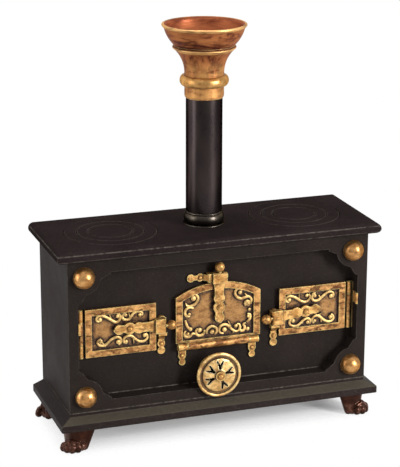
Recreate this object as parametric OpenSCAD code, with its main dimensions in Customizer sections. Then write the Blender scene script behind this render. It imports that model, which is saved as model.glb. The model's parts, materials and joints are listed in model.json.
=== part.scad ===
// Table-top cook stove: a box-shaped cast casing on paw feet, with three hinged doors,
// lifting latches, a turning draft wheel, lift-off hob plates and a flared chimney pot.
// Millimetres, +Z up, +X to the viewer's right, the front faces -Y.
// The origin lies on the floor, under the middle of the whole outline.

/* [Casing] */
// Width of the casing across its side panels
body_w = 200; // [180:1:230]
// Depth of the casing from the front frame to the back panel
body_d = 69.4; // [67:0.2:90]
// Height of the casing between the base and the top plate
body_h = 99; // [88:0.5:120]
// Thickness of the side, front and back panels
panel_t = 3; // [2:0.2:4]
// Thickness of the two partitions beside the firebox
partition_t = 3; // [2:0.2:4]
// Clear width of the firebox between the partitions
firebox_w = 70; // [66:0.5:76]

/* [Base and feet] */
// Height of the paw feet
foot_h = 17.6; // [15:0.2:24]
// How far the base stands out past the casing at each side
base_side = 6.8; // [3:0.2:10]
// How far the base stands out past the casing at the front
base_front = 6.3; // [3:0.2:10]
// Height of the upright face of the base
base_face_h = 4.35; // [3.5:0.05:8]
// Height of the bevel above the face of the base
base_bevel_h = 3.85; // [2:0.05:6]
// Radius of the peg on each foot
peg_r = 2.2; // [1.5:0.1:3]
// Length of the peg on each foot
peg_len = 3.6; // [2:0.1:5]
// Length of the two arms of the corner-shaped ankle where a foot meets the base
ankle_w = 19; // [17:0.2:21]
// Distance of the front ankles from the sides and the front of the base
foot_in_front = 5.2; // [4:0.1:9]
// Distance of the back ankles from the sides of the base
foot_in_back = 3.8; // [3:0.1:9]
// Distance of the back ankles from the back of the base
foot_deep_back = 0.9; // [0.5:0.1:6]
// Radius of one toe
toe_r = 2.5; // [2:0.1:2.8]

/* [Front frame] */
// Depth of the frame in front of the front panel
frame_t = 9; // [7:0.2:11]
// Width of the frame's border at each side
border_side = 6.5; // [5:0.1:8]
// Height of the frame's border at the bottom
border_low = 7; // [5:0.1:9]
// Height of the frame's border at the top
border_top = 8.4; // [6:0.1:11]
// Distance of each dome bolt from the edges of the casing
bolt_in = 10.4; // [9:0.1:12]
// Radius of the domed bolt heads
dome_r = 6.9; // [5.5:0.1:7.5]
// Radius of the bolts' shanks
bolt_r = 1.5; // [1:0.1:2]
// Radius of the frame's rounded corner round each bolt
corner_r = 11.2; // [10:0.1:13]
// Reach of the small shoulder beside each rounded corner
shoulder = 5.6; // [3:0.1:6.5]

/* [Top plate] */
// Thickness of the top plate, with its half-round edge
top_t = 7.15; // [6.6:0.05:9]
// How far the top plate stands out past the casing at each side
top_side = 7.2; // [4:0.1:10]
// How far the top plate stands out past the casing at the front
top_front = 4.5; // [4:0.1:8]
// Distance of each hob's middle from the side of the casing
hob_in = 37.7; // [34:0.1:40]
// Radius of the hob ring
hob_r = 29.6; // [27:0.1:30]
// Radius of the hob lid inside the ring
lid_r = 21.2; // [19:0.1:22.5]
// Radius of the groove turned in the lid
groove_r = 14.2; // [11:0.1:16]
// Thickness of the rim by which a hob piece hangs in its rebate
hob_rim_t = 3.4; // [2.6:0.1:4]
// Width of the rebate that holds a hob piece
rebate = 3.2; // [2:0.1:4]
// Clearance round each hob piece
hob_gap = 0.3; // [0.2:0.05:0.5]

/* [Flue] */
// Outer radius of the flue pipe
pipe_r = 11.6; // [9:0.05:12.5]
// Wall of the flue pipe
pipe_wall = 1.6; // [1:0.1:2.5]
// Length of the flue pipe above the top plate
pipe_len = 87; // [60:1:120]
// How far the flue collar stands out round the pipe
collar_out = 1.9; // [1.2:0.1:4]
// Height of the flue collar
collar_h = 6; // [4:0.1:9]
// Height of the chimney pot
pot_h = 46.6; // [43:0.2:56]
// Radius of the chimney pot's rim
pot_rim_r = 26.8; // [24:0.1:30]
// Radius of the ledge half way up the chimney pot
pot_ledge_r = 20; // [18:0.1:22]
// Wall of the socket by which the chimney pot sits on the pipe
socket_wall = 0.9; // [0.8:0.05:2]
// Wall of the chimney pot
pot_wall = 1.9; // [1.4:0.1:2.5]
// How far the band stands out round the socket of the chimney pot
band_out = 3; // [2:0.1:4.5]
// Height of the band round the chimney pot
band_h = 6.8; // [5:0.1:7.2]

/* [Side doors] */
// Width of the plain panel between each side door and the centre door
door_apart = 13.2; // [11:0.1:16]
// Height of each side door
door_h = 31.5; // [28:0.5:36]
// Width of the raised bars round a door
door_bar = 4.2; // [3.4:0.1:5]
// Thickness of a door at its bars
door_t = 3; // [2.4:0.1:3.6]
// Thickness of a door's sunk field
field_t = 1.4; // [1:0.1:1.8]
// How far the side doors' middle lies above the middle of the casing
door_rise = 0; // [-1.5:0.1:1.5]
// Half the width of the scrollwork's lines
scroll_w = 0.9; // [0.6:0.05:1]
// Radius of the balls in the eyes of the scrollwork
scroll_eye = 1.3; // [0.9:0.05:1.5]
// Gap between a closed door and the panel behind it
door_gap = 0.2; // [0.15:0.05:0.4]
// Radius of the side hinges' knuckles
knuckle_r = 1.45; // [1.3:0.05:1.8]
// Radius of the hinge pins
hinge_pin_r = 0.6; // [0.5:0.05:0.7]
// Radial running clearance of the pins
fit = 0.05; // [0.02:0.01:0.09]
// Gap between a side door's edge and its hinge knuckles
hinge_gap = 1.35; // [1:0.05:1.6]
// Gap between neighbouring knuckles
knuckle_gap = 0.25; // [0.15:0.05:0.4]

/* [Centre door] */
// Width of the centre door
arch_w = 56.8; // [54:0.2:60]
// Room between the crown of the centre door and the frame's top border
arch_head = 15.9; // [14.5:0.1:19]
// Rise of the centre door's arched top
arch_rise = 7.9; // [5:0.1:9]
// Height of the centre door's hinge above the casing floor
arch_hinge_h = 33.7; // [33:0.1:36]
// Radius of the centre door's hinge barrel
barrel_r = 2.5; // [2.1:0.1:2.6]
// Width of each of the two fixed knuckles of the centre door
arch_knuckle_w = 6; // [5:0.2:7]
// Distance between the outer ends of those two knuckles
arch_knuckle_span = 54; // [51:0.2:56]
// Radius of the centre door's hinge pins
arch_pin_r = 0.9; // [0.7:0.05:1.1]
// Length of the two straps that hang below the centre door
tail_len = 13; // [11:0.2:15]

/* [Latches] */
// Distance from a latch's pivot to the middle of its end block
latch_len = 20; // [19:0.1:22]
// Thickness of the latch levers
lever_t = 1.4; // [1.1:0.1:1.8]
// Length of the lever's end block
block_l = 6.8; // [6:0.1:8]
// Width of the lever's end block
block_w = 9.4; // [8:0.1:10.4]
// Thickness of the lever's end block
block_t = 3.4; // [2.8:0.1:4]
// Radius of the ball on the end of a latch
ball_r = 3.1; // [2.6:0.1:3.4]
// Radius of the rivet that a latch turns on
rivet_r = 1; // [0.8:0.1:1.2]
// Gap between sliding faces of the latches
slide_gap = 0.3; // [0.25:0.05:0.4]
// Distance of the side latches' pivots from the door's free edge
side_pivot_in = 17.7; // [16.5:0.1:20]
// Height of the left latch's pivot above the middle of its door
left_pivot_z = 1.3; // [0:0.1:3]
// Height of the right latch's pivot above the middle of its door
right_pivot_z = -0.7; // [-3:0.1:1]
// Angle by which the left latch rests below level
left_droop = 1; // [0:0.5:3]
// Angle by which the right latch rests below level
right_droop = 5; // [2:0.5:7]
// Distance of the centre latch's pivot below the crown of the centre door
arch_pivot_low = 16.6; // [16:0.1:17.5]
// Width of the keeper bars behind the latches
keeper_w = 5.4; // [4.8:0.1:5.8]
// Length of a keeper from the middle of the latch block to its tip
keeper_len = 20.4; // [19:0.1:22]

/* [Draft wheel] */
// Outer radius of the draft wheel
wheel_r = 14.9; // [13:0.1:15.1]
// Radius of the wheel's round rim
wheel_rim_r = 1.05; // [0.8:0.05:1.6]
// Width of the groove between the wheel's rim and its web
wheel_groove = 1.5; // [0.4:0.1:2]
// Thickness of the wheel's hub
wheel_hub_t = 3.4; // [2.8:0.1:4]
// Sideways place of the wheel's axis
wheel_x = -2.5; // [-6:0.1:6]
// Height of the wheel's axis above the casing floor
wheel_z = 15.5; // [15:0.1:16.5]
// Radial length of the slots in the wheel and in the draft port
slot_l = 6.2; // [4:0.1:6.6]
// Outer radius of the draft port's tube
port_r = 7.9; // [7:0.1:8]
// Wall of the draft port's tube
port_wall = 1.2; // [1:0.1:1.6]
// Radius of the pin that the wheel turns on
wheel_pin_r = 1.1; // [0.9:0.05:1.4]
// How far the draft port stands out past the front frame
port_out = 1.5; // [1.3:0.1:2]

/* [Grate] */
// Thickness of the fire grate
grate_t = 3; // [2:0.2:4]
// Height of the grate above the casing floor
grate_z = 30; // [28.5:0.5:31.5]
// Number of open slots across the grate
grate_slots = 9; // [5:1:11]
// Width of one slot of the grate
slot_w = 3.6; // [2.6:0.1:4.4]

/* [Hidden] */
$fn = 48;

IRON = [0.17, 0.15, 0.15];
GOLD = [0.78, 0.60, 0.30];
COPPER = [0.60, 0.34, 0.20];
BRONZE = [0.28, 0.17, 0.14];
CUT = 1; // overshoot of cutting bodies past the face they cut

// Levels and faces of the casing
base_h = base_face_h + base_bevel_h;
floor_z = foot_h + base_h;
top_z = floor_z + body_h;
hob_z = top_z + top_t;
pot_seat = 5;
hob_x = body_w / 2 - hob_in;
collar_r = pipe_r + collar_out;
pot_neck_r = pipe_r + socket_wall;
band_r = pot_neck_r + band_out;
pot_z = hob_z + pipe_len - pot_seat;
front_y = -body_d / 2;
panel_y = front_y + frame_t;
inner_y = panel_y + panel_t;
back_y = body_d / 2;
inner_back_y = back_y - panel_t;
side_x = body_w / 2;
opening_x = side_x - border_side;
opening_z0 = floor_z + border_low;
opening_z1 = top_z - border_top;
bolt_x = side_x - bolt_in;
bolt_z0 = floor_z + bolt_in;
bolt_z1 = top_z - bolt_in;

// Doors and hinges
door_back_y = panel_y - door_gap;
door_y = door_back_y - door_t;
field_y = door_back_y - field_t;
hinge_wall_gap = 1.65;
hinge_x = opening_x - hinge_wall_gap - knuckle_r;
hinge_y = door_y + knuckle_r - 0.15;
door_out_x = hinge_x - knuckle_r - hinge_gap;
door_w = door_out_x - arch_w / 2 - door_apart;
door_mid_x = door_out_x - door_w / 2;
door_mid_z = floor_z + body_h / 2 + door_rise;
knuckle_end_h = door_h * 0.26;
leaf_t = 0.9;
arch_hinge_z = floor_z + arch_hinge_h;
arch_hinge_y = panel_y - slide_gap - barrel_r;
arch_crown = opening_z1 - arch_head - arch_hinge_z;
arch_side_h = arch_crown - arch_rise;
arch_low = barrel_r + 0.2;
arch_r = (pow(arch_w / 2, 2) + pow(arch_rise, 2)) / (2 * arch_rise);
barrel_half = arch_knuckle_span / 2 - arch_knuckle_w - knuckle_gap;
tail_x = arch_knuckle_span / 2 - arch_knuckle_w / 2 - 0.3;
tail_rivet = 6.4;
small_rivet_r = 0.8;
strap_t = 1.4;

// Latches
lever_back_y = door_y - slide_gap;
lever_y = lever_back_y - lever_t;
block_y = lever_back_y - block_t;
keeper_pad = panel_y - (lever_back_y + slide_gap);
pivot_lobe_r = 3.8;
tip_lobe_r = 3.1;
neck_w = 6;
ball_reach = latch_len + block_l / 2 + ball_r + 0.8;
keeper_tip_r = 2.5;
side_pivot_x = door_out_x - door_w + side_pivot_in;
left_pivot = [-side_pivot_x, door_mid_z + left_pivot_z];
right_pivot = [side_pivot_x, door_mid_z + right_pivot_z];
centre_pivot = [0, arch_hinge_z + arch_crown - arch_pivot_low];

// Draft wheel
wheel_axis_z = floor_z + wheel_z;
port_y = front_y - port_out;
port_face_t = 1.1;
wheel_back_y = port_y - slide_gap;
wheel_y = wheel_back_y - wheel_hub_t;
web_r = wheel_r - 2 * wheel_rim_r - wheel_groove;
slot_r = 3.9;
head_t = 1;
cap_r = 1.9;
head_y = wheel_y - 0.15;

// Feet: the peg's distance from the ankle's outer faces, and the places of the four toes
// measured inwards from the same faces
ankle_mid = ankle_w * 0.37;
toe_places = ankle_w * [[-0.095, 0.279], [-0.021, 0.121], [0.126, 0.0158], [0.321, 0.021]];

// The whole outline is centred on the origin
front_reach = -(head_y - head_t - cap_r);
back_reach = max(back_y, back_y - foot_deep_back + toe_r - toe_places[2].y);
shift_y = (front_reach - back_reach) / 2;

// ---- helpers -------------------------------------------------------------------------

// Everything is drawn round the middle of the casing and then centred on its outline
module put() translate([0, shift_y, 0]) children();

// Stands an outline drawn as (x, z) upright, from depth y to depth y + t
module upright(y, t) translate([0, y + t, 0]) rotate([90, 0, 0]) linear_extrude(t) children();

// A round rod along Y, from y0 to y1
module rod(x, z, y0, y1, r) translate([x, y0, z]) rotate([-90, 0, 0]) cylinder(h = y1 - y0, r = r);

// A round rod along X
module rod_x(x0, x1, y, z, r) translate([x0, y, z]) rotate([0, 90, 0]) cylinder(h = x1 - x0, r = r);

// A box given by its low and high corners
module block(lo, hi) translate(lo) cube(hi - lo);

// Direction of an angle
function unit(a) = [cos(a), sin(a)];

// Points along the arc of radius r from p to q; its centre is to the left of the way
// for r above zero and to the right for r below zero
function arc_between(p, q, r, n = 8) =
  let (d = q - p, l = norm(d), h = sign(r) * sqrt(r * r - l * l / 4))
  let (c = (p + q) / 2 + h * [-d.y, d.x] / l)
  let (a = atan2(p.y - c.y, p.x - c.x), b = atan2(q.y - c.y, q.x - c.x))
  let (sweep = (b - a + 540) % 360 - 180)
  [for (i = [0:n]) c + abs(r) * unit(a + sweep * i / n)];

// The same arc with its radius as a multiple k of the straight way from p to q
function bow(p, q, k, n = 8) = arc_between(p, q, k * norm(q - p), n);

// ---- casing --------------------------------------------------------------------------

// The base is the meeting of its front profile and its side profile, so the bevels mitre
module base_plinth() put() color(IRON) {
  peg_gap = 0.1;
  outer_x = side_x + base_side;
  difference() {
    intersection() {
      upright(front_y - base_front - CUT, body_d + base_front + 2 * CUT)
        polygon([
          [-outer_x, foot_h], [outer_x, foot_h], [outer_x, foot_h + base_face_h],
          [side_x, floor_z], [-side_x, floor_z], [-outer_x, foot_h + base_face_h]
        ]);
      translate([-outer_x - CUT, 0, 0]) rotate([90, 0, 90]) linear_extrude(2 * (outer_x + CUT))
        polygon([
          [front_y - base_front, foot_h], [back_y, foot_h], [back_y, floor_z],
          [front_y, floor_z], [front_y - base_front, foot_h + base_face_h]
        ]);
    }
    for (sx = [-1, 1])
      for (back = [false, true])
        translate([peg_x(back) * sx, peg_y(back), foot_h - CUT])
          cylinder(h = peg_len + peg_gap + CUT, r = peg_r + peg_gap);
  }
}

function foot_in(back) = back ? foot_in_back : foot_in_front;
function foot_deep(back) = back ? foot_deep_back : foot_in_front;
function peg_x(back) = side_x + base_side - foot_in(back) - ankle_mid;
function peg_y(back) =
  back ? back_y - foot_deep(back) - ankle_mid
       : front_y - base_front + foot_deep(back) + ankle_mid;

// A paw foot, drawn with the outer corner of its ankle over the origin and its two arms
// along +X and +Y. The arms lean in to two small heels, and four round toes spread in
// front of the rounded corner, under a fold of skin.
module paw() {
  corner = ankle_w * 0.316;
  arm = 2;
  heel_r = 2.8;
  ball_r = 4.7;
  flat = 0.4;
  low = ankle_w * [0.337, 0.337];
  heels = ankle_w * [[0.579, 0.179], [0.179, 0.579]];
  difference() {
    union() {
      hull() {
        for (c = [[corner, corner, corner], [ankle_w - arm, arm + 0.2, arm], [arm + 0.2, ankle_w - arm, arm]])
          translate([c[0], c[1], foot_h - 1]) cylinder(h = 1, r = c[2], $fn = 24);
        for (c = heels)
          translate([c.x, c.y, heel_r - flat]) sphere(r = heel_r, $fn = 20);
        translate([low.x, low.y, ball_r - flat]) sphere(r = ball_r, $fn = 24);
      }
      for (t = toe_places) {
        lean = (t - low) * 0.22;
        hull() {
          translate([t.x, t.y, toe_r - flat]) sphere(r = toe_r, $fn = 18);
          translate([t.x - lean.x, t.y - lean.y, toe_r * 1.55 - flat]) sphere(r = toe_r * 0.95, $fn = 18);
        }
      }
      hull() for (t = [[0.4, 5.4, 6.4], [1.9, 1.9, 7.6], [5.6, 0.9, 6.4], [low.x, low.y, ball_r - flat]])
        translate(t) sphere(r = 1.3, $fn = 10);
    }
    translate([-ankle_w, -ankle_w, -2 * CUT]) cube([3 * ankle_w, 3 * ankle_w, 2 * CUT]);
  }
  translate([ankle_mid, ankle_mid, foot_h - CUT]) cylinder(h = peg_len + CUT, r = peg_r);
}

module foot(right, back) put() color(BRONZE)
  mirror([right ? 0 : 1, 0, 0]) translate([side_x + base_side - foot_in(back), 0, 0])
    translate([0, back ? back_y - foot_deep(back) : front_y - base_front + foot_deep(back), 0])
      mirror([1, 0, 0]) mirror([0, back ? 1 : 0, 0]) paw();

module side_panel(sx) put() color(IRON)
  translate([sx > 0 ? side_x - panel_t : -side_x, panel_y, floor_z])
    cube([panel_t, back_y - panel_y, body_h]);

module back_panel() put() color(IRON)
  block([-side_x + panel_t, inner_back_y, floor_z], [side_x - panel_t, back_y, top_z]);

// The frame's opening is a rectangle whose corners step round the dome bolts
module frame_corner(to_end) {
  reach = corner_r + shoulder;
  end_step = 1.2;
  side_step = 2;
  to_side = bolt_in - border_side;
  near = corner_r * 0.16;
  far = corner_r * 0.98;
  circle(r = corner_r);
  polygon([
    [0, 0], [-far, -near], [-reach, to_end - end_step], [-reach - 0.3, to_end + CUT],
    [to_side + CUT, to_end + CUT], [to_side + CUT, -reach - 0.4], [to_side, -reach - 0.4],
    [to_side - side_step, -reach + 0.4], [-near, -far]
  ]);
}

module front_frame() put() color(IRON)
  difference() {
    upright(front_y, frame_t) difference() {
      translate([-side_x, floor_z]) square([body_w, body_h]);
      difference() {
        translate([-opening_x, opening_z0]) square([2 * opening_x, opening_z1 - opening_z0]);
        for (sx = [-1, 1])
          for (low = [true, false])
            translate([sx * bolt_x, low ? bolt_z0 : bolt_z1])
              mirror([sx < 0 ? 1 : 0, 0]) mirror([0, low ? 1 : 0])
                frame_corner(bolt_in - (low ? border_low : border_top));
      }
    }
    bolt_holes();
  }

module bolt_holes()
  for (sx = [-1, 1])
    for (z = [bolt_z0, bolt_z1])
      rod(sx * bolt_x, z, front_y - CUT, inner_y + CUT, bolt_r + 0.1);

module front_panel() put() color(IRON)
  difference() {
    upright(panel_y, panel_t) difference() {
      translate([-side_x + panel_t, floor_z]) square([body_w - 2 * panel_t, body_h]);
      for (sx = [-1, 1])
        translate([sx * door_mid_x, door_mid_z])
          square([door_w - 2 * door_bar, door_h - 2 * door_bar], center = true);
      translate([0, arch_hinge_z]) arch_outline(door_bar, arch_low + door_bar - 0.6);
      translate([wheel_x, wheel_axis_z]) circle(r = port_r - port_wall);
    }
    bolt_holes();
    rivet_places() rod(0, 0, panel_y - CUT, inner_y + CUT, small_rivet_r);
  }

// Repeats a drawing at each rivet that holds a strap or a keeper to the front panel
module rivet_places() {
  for (sx = [-1, 1]) translate([sx * tail_x, 0, arch_hinge_z - tail_rivet]) children();
  for (k = ["left", "right", "centre"]) keeper_rivet_at(k) children();
}

// Partition with a rail that carries the grate
module partition(sx) put() color(IRON) {
  x = firebox_w / 2;
  rail = 3;
  mirror([sx < 0 ? 1 : 0, 0, 0]) {
    block([x, inner_y, floor_z], [x + partition_t, inner_back_y, top_z]);
    block([x - rail, inner_y, floor_z + grate_z - rail], [x, inner_back_y, floor_z + grate_z]);
  }
}

module fire_grate() put() color(IRON) {
  play = 0.4;
  x = firebox_w / 2 - play;
  y0 = inner_y + play;
  y1 = inner_back_y - play;
  rim = 5;
  pitch = 2 * (x - rim) / grate_slots;
  difference() {
    block([-x, y0, floor_z + grate_z], [x, y1, floor_z + grate_z + grate_t]);
    for (i = [0:grate_slots - 1])
      translate([-x + rim + pitch * (i + 0.5), 0, floor_z + grate_z - CUT])
        linear_extrude(grate_t + 2 * CUT) {
          translate([-slot_w / 2, y0 + rim]) square([slot_w, y1 - y0 - 2 * rim]);
          for (y = [y0 + rim, y1 - rim]) translate([0, y]) circle(d = slot_w);
        }
  }
}

// ---- top plate and hob ---------------------------------------------------------------

// The half-round edge runs round the front and the sides; the back is square
module top_plate() put() color(IRON) {
  r = top_t / 2;
  x = side_x + top_side;
  y0 = front_y - top_front;
  zm = top_z + r;
  difference() {
    intersection() {
      upright(y0 - CUT, back_y - y0 + CUT) {
        translate([-x + r, top_z]) square([2 * (x - r), top_t]);
        for (sx = [-1, 1]) translate([sx * (x - r), zm]) circle(r = r);
      }
      translate([-x - CUT, 0, 0]) rotate([90, 0, 90]) linear_extrude(2 * (x + CUT)) {
        translate([y0 + r, top_z]) square([back_y - y0 - r, top_t]);
        translate([y0 + r, zm]) circle(r = r);
      }
    }
    for (sx = [-1, 1]) translate([sx * hob_x, 0, 0]) hob_recess(hob_r);
    translate([0, 0, top_z - CUT]) cylinder(h = top_t + 2 * CUT, r = pipe_r + 0.1);
  }
}

// Space for a hob piece of radius r: a rebate, a hole under it and an eased edge
module hob_recess(r) {
  ease = 0.4;
  translate([0, 0, hob_z - hob_rim_t]) cylinder(h = hob_rim_t + CUT, r = r + hob_gap);
  translate([0, 0, top_z - CUT]) cylinder(h = top_t, r = r - rebate + hob_gap);
  translate([0, 0, hob_z - ease]) cylinder(h = 2 * ease, r1 = r + hob_gap, r2 = r + hob_gap + 2 * ease);
}

// A round plate of radius r that hangs in the recess by its rim
module hob_plate(r) {
  ease = 0.4;
  foot_t = 1.2;
  rotate_extrude() polygon([
    [0, top_z + foot_t], [r - rebate, top_z + foot_t], [r - rebate, hob_z - hob_rim_t],
    [r, hob_z - hob_rim_t], [r, hob_z - ease], [r - ease, hob_z], [0, hob_z]
  ]);
}

module hob_ring(sx) put() color(IRON) translate([sx * hob_x, 0, 0])
  difference() {
    hob_plate(hob_r);
    hob_recess(lid_r);
  }

module hob_lid(sx) put() color(IRON) translate([sx * hob_x, 0, 0])
  difference() {
    hob_plate(lid_r);
    groove = 0.7;
    translate([0, 0, hob_z]) rotate_extrude()
      polygon([[groove_r - groove, CUT], [groove_r - groove, 0], [groove_r, -groove],
               [groove_r + groove, 0], [groove_r + groove, CUT]]);
  }

// ---- flue and chimney pot ------------------------------------------------------------

module flue_collar() put() color(IRON) {
  bead = collar_out * 0.72;
  bead_h = collar_h * 0.467;
  bead_z = hob_z + collar_h - bead_h;
  foot = collar_h * 0.133;
  rotate_extrude() {
    translate([pipe_r, hob_z]) square([collar_r - pipe_r, foot]);
    polygon(concat(
      [[pipe_r, hob_z + foot]],
      [for (i = [0:10]) [pipe_r, bead_z] + [bead * cos(-90 + 18 * i), bead_h * sin(-90 + 18 * i)]]
    ));
  }
}

module flue_pipe() put() color(IRON)
  translate([0, 0, top_z - 3]) difference() {
    cylinder(h = top_t + pipe_len + 3, r = pipe_r);
    translate([0, 0, -CUT]) cylinder(h = top_t + pipe_len + 3 + 2 * CUT, r = pipe_r - pipe_wall);
  }

// Socket, cavetto neck, ledge and cup of the chimney pot, turned round its axis
module chimney_pot() put() color(COPPER) translate([0, 0, pot_z]) {
  socket_h = pot_h * 0.324;
  ledge_z = pot_h * 0.681;
  bead = 0.9;
  cup_z = ledge_z + 1.5;
  lip = 1.5;
  lip_z = pot_h - 2.8;
  throat = pot_neck_r - pot_wall;
  outer = concat(
    [[pipe_r, 0], [pot_neck_r - 0.7, 0], [pot_neck_r - 0.3, 0.5], [pot_neck_r, 1.6]],
    bow([pot_neck_r, socket_h], [pot_ledge_r - bead, ledge_z - 0.9], -1.22, 10),
    [[pot_ledge_r, ledge_z - 0.2], [pot_ledge_r, ledge_z + 0.5], [pot_ledge_r - bead, cup_z]],
    bow([pot_ledge_r - bead, cup_z + 0.1], [pot_rim_r - lip, lip_z], 1.82),
    [[pot_rim_r - 0.6, lip_z + 1.1], [pot_rim_r, pot_h - 0.9], [pot_rim_r - 0.1, pot_h - 0.3],
     [pot_rim_r - 0.6, pot_h]]
  );
  inner = concat(
    [[pot_rim_r - lip, pot_h]],
    bow([pot_rim_r - lip - pot_wall * 0.6, lip_z + 1.2], [pot_ledge_r - bead - pot_wall, cup_z + 0.6], -1.54),
    bow([pot_ledge_r - bead - pot_wall * 1.2, ledge_z - 0.4], [throat, socket_h], 1.3),
    [[throat, pot_seat], [pipe_r, pot_seat]]
  );
  rotate_extrude() polygon(concat(outer, inner));
}

// Round band pressed on below the neck
module chimney_band() put() color(GOLD) translate([0, 0, pot_z + pot_h * 0.162]) {
  swell = band_out;
  rotate_extrude() polygon([
    for (i = [0:12]) [pot_neck_r + swell * pow(cos(-90 + 15 * i), 0.8), band_h / 2 * (1 + sin(-90 + 15 * i))]
  ]);
}

// ---- bolts ---------------------------------------------------------------------------

module dome_bolts() put() color(GOLD)
  for (sx = [-1, 1])
    for (z = [bolt_z0, bolt_z1]) {
      rod(sx * bolt_x, z, front_y, inner_y + 2.6, bolt_r);
      translate([sx * bolt_x, front_y, z]) intersection() {
        sphere(r = dome_r);
        translate([-dome_r - CUT, -dome_r - CUT, -dome_r - CUT])
          cube([2 * (dome_r + CUT), dome_r + CUT, 2 * (dome_r + CUT)]);
      }
    }

module dome_nuts() put() color(IRON)
  for (sx = [-1, 1])
    for (z = [bolt_z0, bolt_z1])
      translate([sx * bolt_x, inner_y, z]) rotate([-90, 0, 0]) difference() {
        cylinder(h = 2, r = 3, $fn = 6);
        translate([0, 0, -CUT]) cylinder(h = 2 + 2 * CUT, r = bolt_r);
      }

// ---- side doors ----------------------------------------------------------------------

// Each side door is drawn for the right, about its own middle, and mirrored for the left
module at_side(sx) mirror([sx < 0 ? 1 : 0, 0, 0]) children();

module side_door(sx) put() color(GOLD) at_side(sx) {
  zk = door_mid_z + door_h / 2 - knuckle_end_h;
  zk0 = door_mid_z - door_h / 2 + knuckle_end_h;
  difference() {
    union() {
      translate([door_mid_x, 0, door_mid_z]) {
        upright(door_y, door_t) difference() {
          square([door_w, door_h], center = true);
          square([door_w - 2 * door_bar, door_h - 2 * door_bar], center = true);
        }
        upright(field_y, field_t) square([door_w - door_bar, door_h - door_bar], center = true);
      }
      block([door_out_x - 1, hinge_y + 0.3, zk0 + knuckle_gap], [hinge_x, hinge_y + 0.3 + leaf_t, zk - knuckle_gap]);
      translate([hinge_x, hinge_y, zk0 + knuckle_gap])
        cylinder(h = zk - zk0 - 2 * knuckle_gap, r = knuckle_r);
    }
    translate([hinge_x, hinge_y, zk0 - CUT]) cylinder(h = zk - zk0 + 2 * CUT, r = hinge_pin_r + fit);
    rod(side_pivot_x, door_mid_z + (sx < 0 ? left_pivot_z : right_pivot_z),
        door_y - CUT, panel_y + CUT, rivet_r + 0.02);
  }
}

// Fixed leaf on the side of the recess, with the outer two knuckles and a stop lug
module hinge_leaf(sx) put() color(GOLD) at_side(sx) {
  z0 = door_mid_z - door_h / 2;
  z1 = door_mid_z + door_h / 2;
  difference() {
    union() {
      block([opening_x - leaf_t, hinge_y - 1, z0], [opening_x, panel_y, z1]);
      block([opening_x - leaf_t * 0.6, front_y, door_mid_z + 2.4], [opening_x, hinge_y, door_mid_z + 9.6]);
      translate([opening_x - 0.55, front_y - 0.35, door_mid_z + 2.4]) cylinder(h = 7.2, r = 0.75);
      for (z = [z0, z1 - knuckle_end_h]) {
        translate([hinge_x, hinge_y, z]) cylinder(h = knuckle_end_h, r = knuckle_r);
        block([hinge_x, hinge_y + 0.2, z], [opening_x - leaf_t / 2, hinge_y + 0.2 + leaf_t, z + knuckle_end_h]);
      }
    }
    translate([hinge_x, hinge_y, z0 - CUT]) cylinder(h = z1 - z0 + 2 * CUT, r = hinge_pin_r);
  }
}

module hinge_pin(sx) put() color(GOLD) at_side(sx)
  translate([hinge_x, hinge_y, door_mid_z - door_h / 2]) cylinder(h = door_h, r = hinge_pin_r);

// ---- centre door ---------------------------------------------------------------------

// Outline of the arched door about its hinge line, drawn smaller by the inset all round
module arch_outline(inset, low) {
  w = arch_w / 2 - inset;
  r = arch_r - inset;
  crown = arch_crown - inset;
  side = crown - r + sqrt(r * r - w * w);
  polygon(concat([[-w, low], [w, low]], arc_between([w, side], [-w, side], r, 24)));
}

module door_centre() put() color(GOLD) {
  difference() {
    union() {
      translate([0, 0, arch_hinge_z]) {
        upright(door_y, door_t) difference() {
          arch_outline(0, arch_low);
          arch_outline(door_bar + 0.2, arch_low + 1.2);
        }
        upright(field_y, field_t) arch_outline(door_bar / 2, arch_low + 0.6);
        upright(door_y, door_t) translate([-barrel_half, 0]) square([2 * barrel_half, arch_low + 1]);
      }
      rod_x(-barrel_half, barrel_half, arch_hinge_y, arch_hinge_z, barrel_r);
    }
    rod_x(-barrel_half - CUT, barrel_half + CUT, arch_hinge_y, arch_hinge_z, arch_pin_r + fit);
    rod(centre_pivot.x, centre_pivot.y, door_y - CUT, panel_y + CUT, rivet_r + 0.02);
  }
}

// Strap with a rivet lobe and a round tip, drawn down from the origin
module tail_outline(w, rivet, len) {
  translate([-w / 2, -rivet + 1]) square([w, rivet]);
  translate([0, -rivet]) circle(r = w / 2);
  translate([-w * 0.3, -len + w * 0.4]) square([w * 0.6, len - rivet]);
  translate([0, -len + w * 0.42]) circle(r = w * 0.42);
}

module arch_hinge(sx) put() color(GOLD) at_side(sx) {
  x1 = arch_knuckle_span / 2;
  x0 = x1 - arch_knuckle_w;
  xm = tail_x;
  difference() {
    union() {
      rod_x(x0, x1, arch_hinge_y, arch_hinge_z, barrel_r);
      translate([xm, 0, arch_hinge_z]) upright(panel_y - strap_t, strap_t)
        tail_outline(arch_knuckle_w * 0.84, tail_rivet, tail_len);
    }
    rod_x(x0 - CUT, x1 + CUT, arch_hinge_y, arch_hinge_z, arch_pin_r);
    rod(xm, arch_hinge_z - tail_rivet, panel_y - strap_t - CUT, panel_y + CUT, small_rivet_r);
  }
}

module arch_hinge_pins() put() color(GOLD)
  for (sx = [-1, 1]) at_side(sx)
    rod_x(barrel_half - 4, arch_knuckle_span / 2, arch_hinge_y, arch_hinge_z, arch_pin_r);

// Small round-headed rivet through a strap and the panel
module panel_rivet(x, z) {
  rod(x, z, panel_y - strap_t, inner_y, small_rivet_r);
  translate([x, panel_y - strap_t, z]) intersection() {
    sphere(r = 1.3);
    translate([-2, -2, -2]) cube([4, 2, 4]);
  }
}

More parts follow.
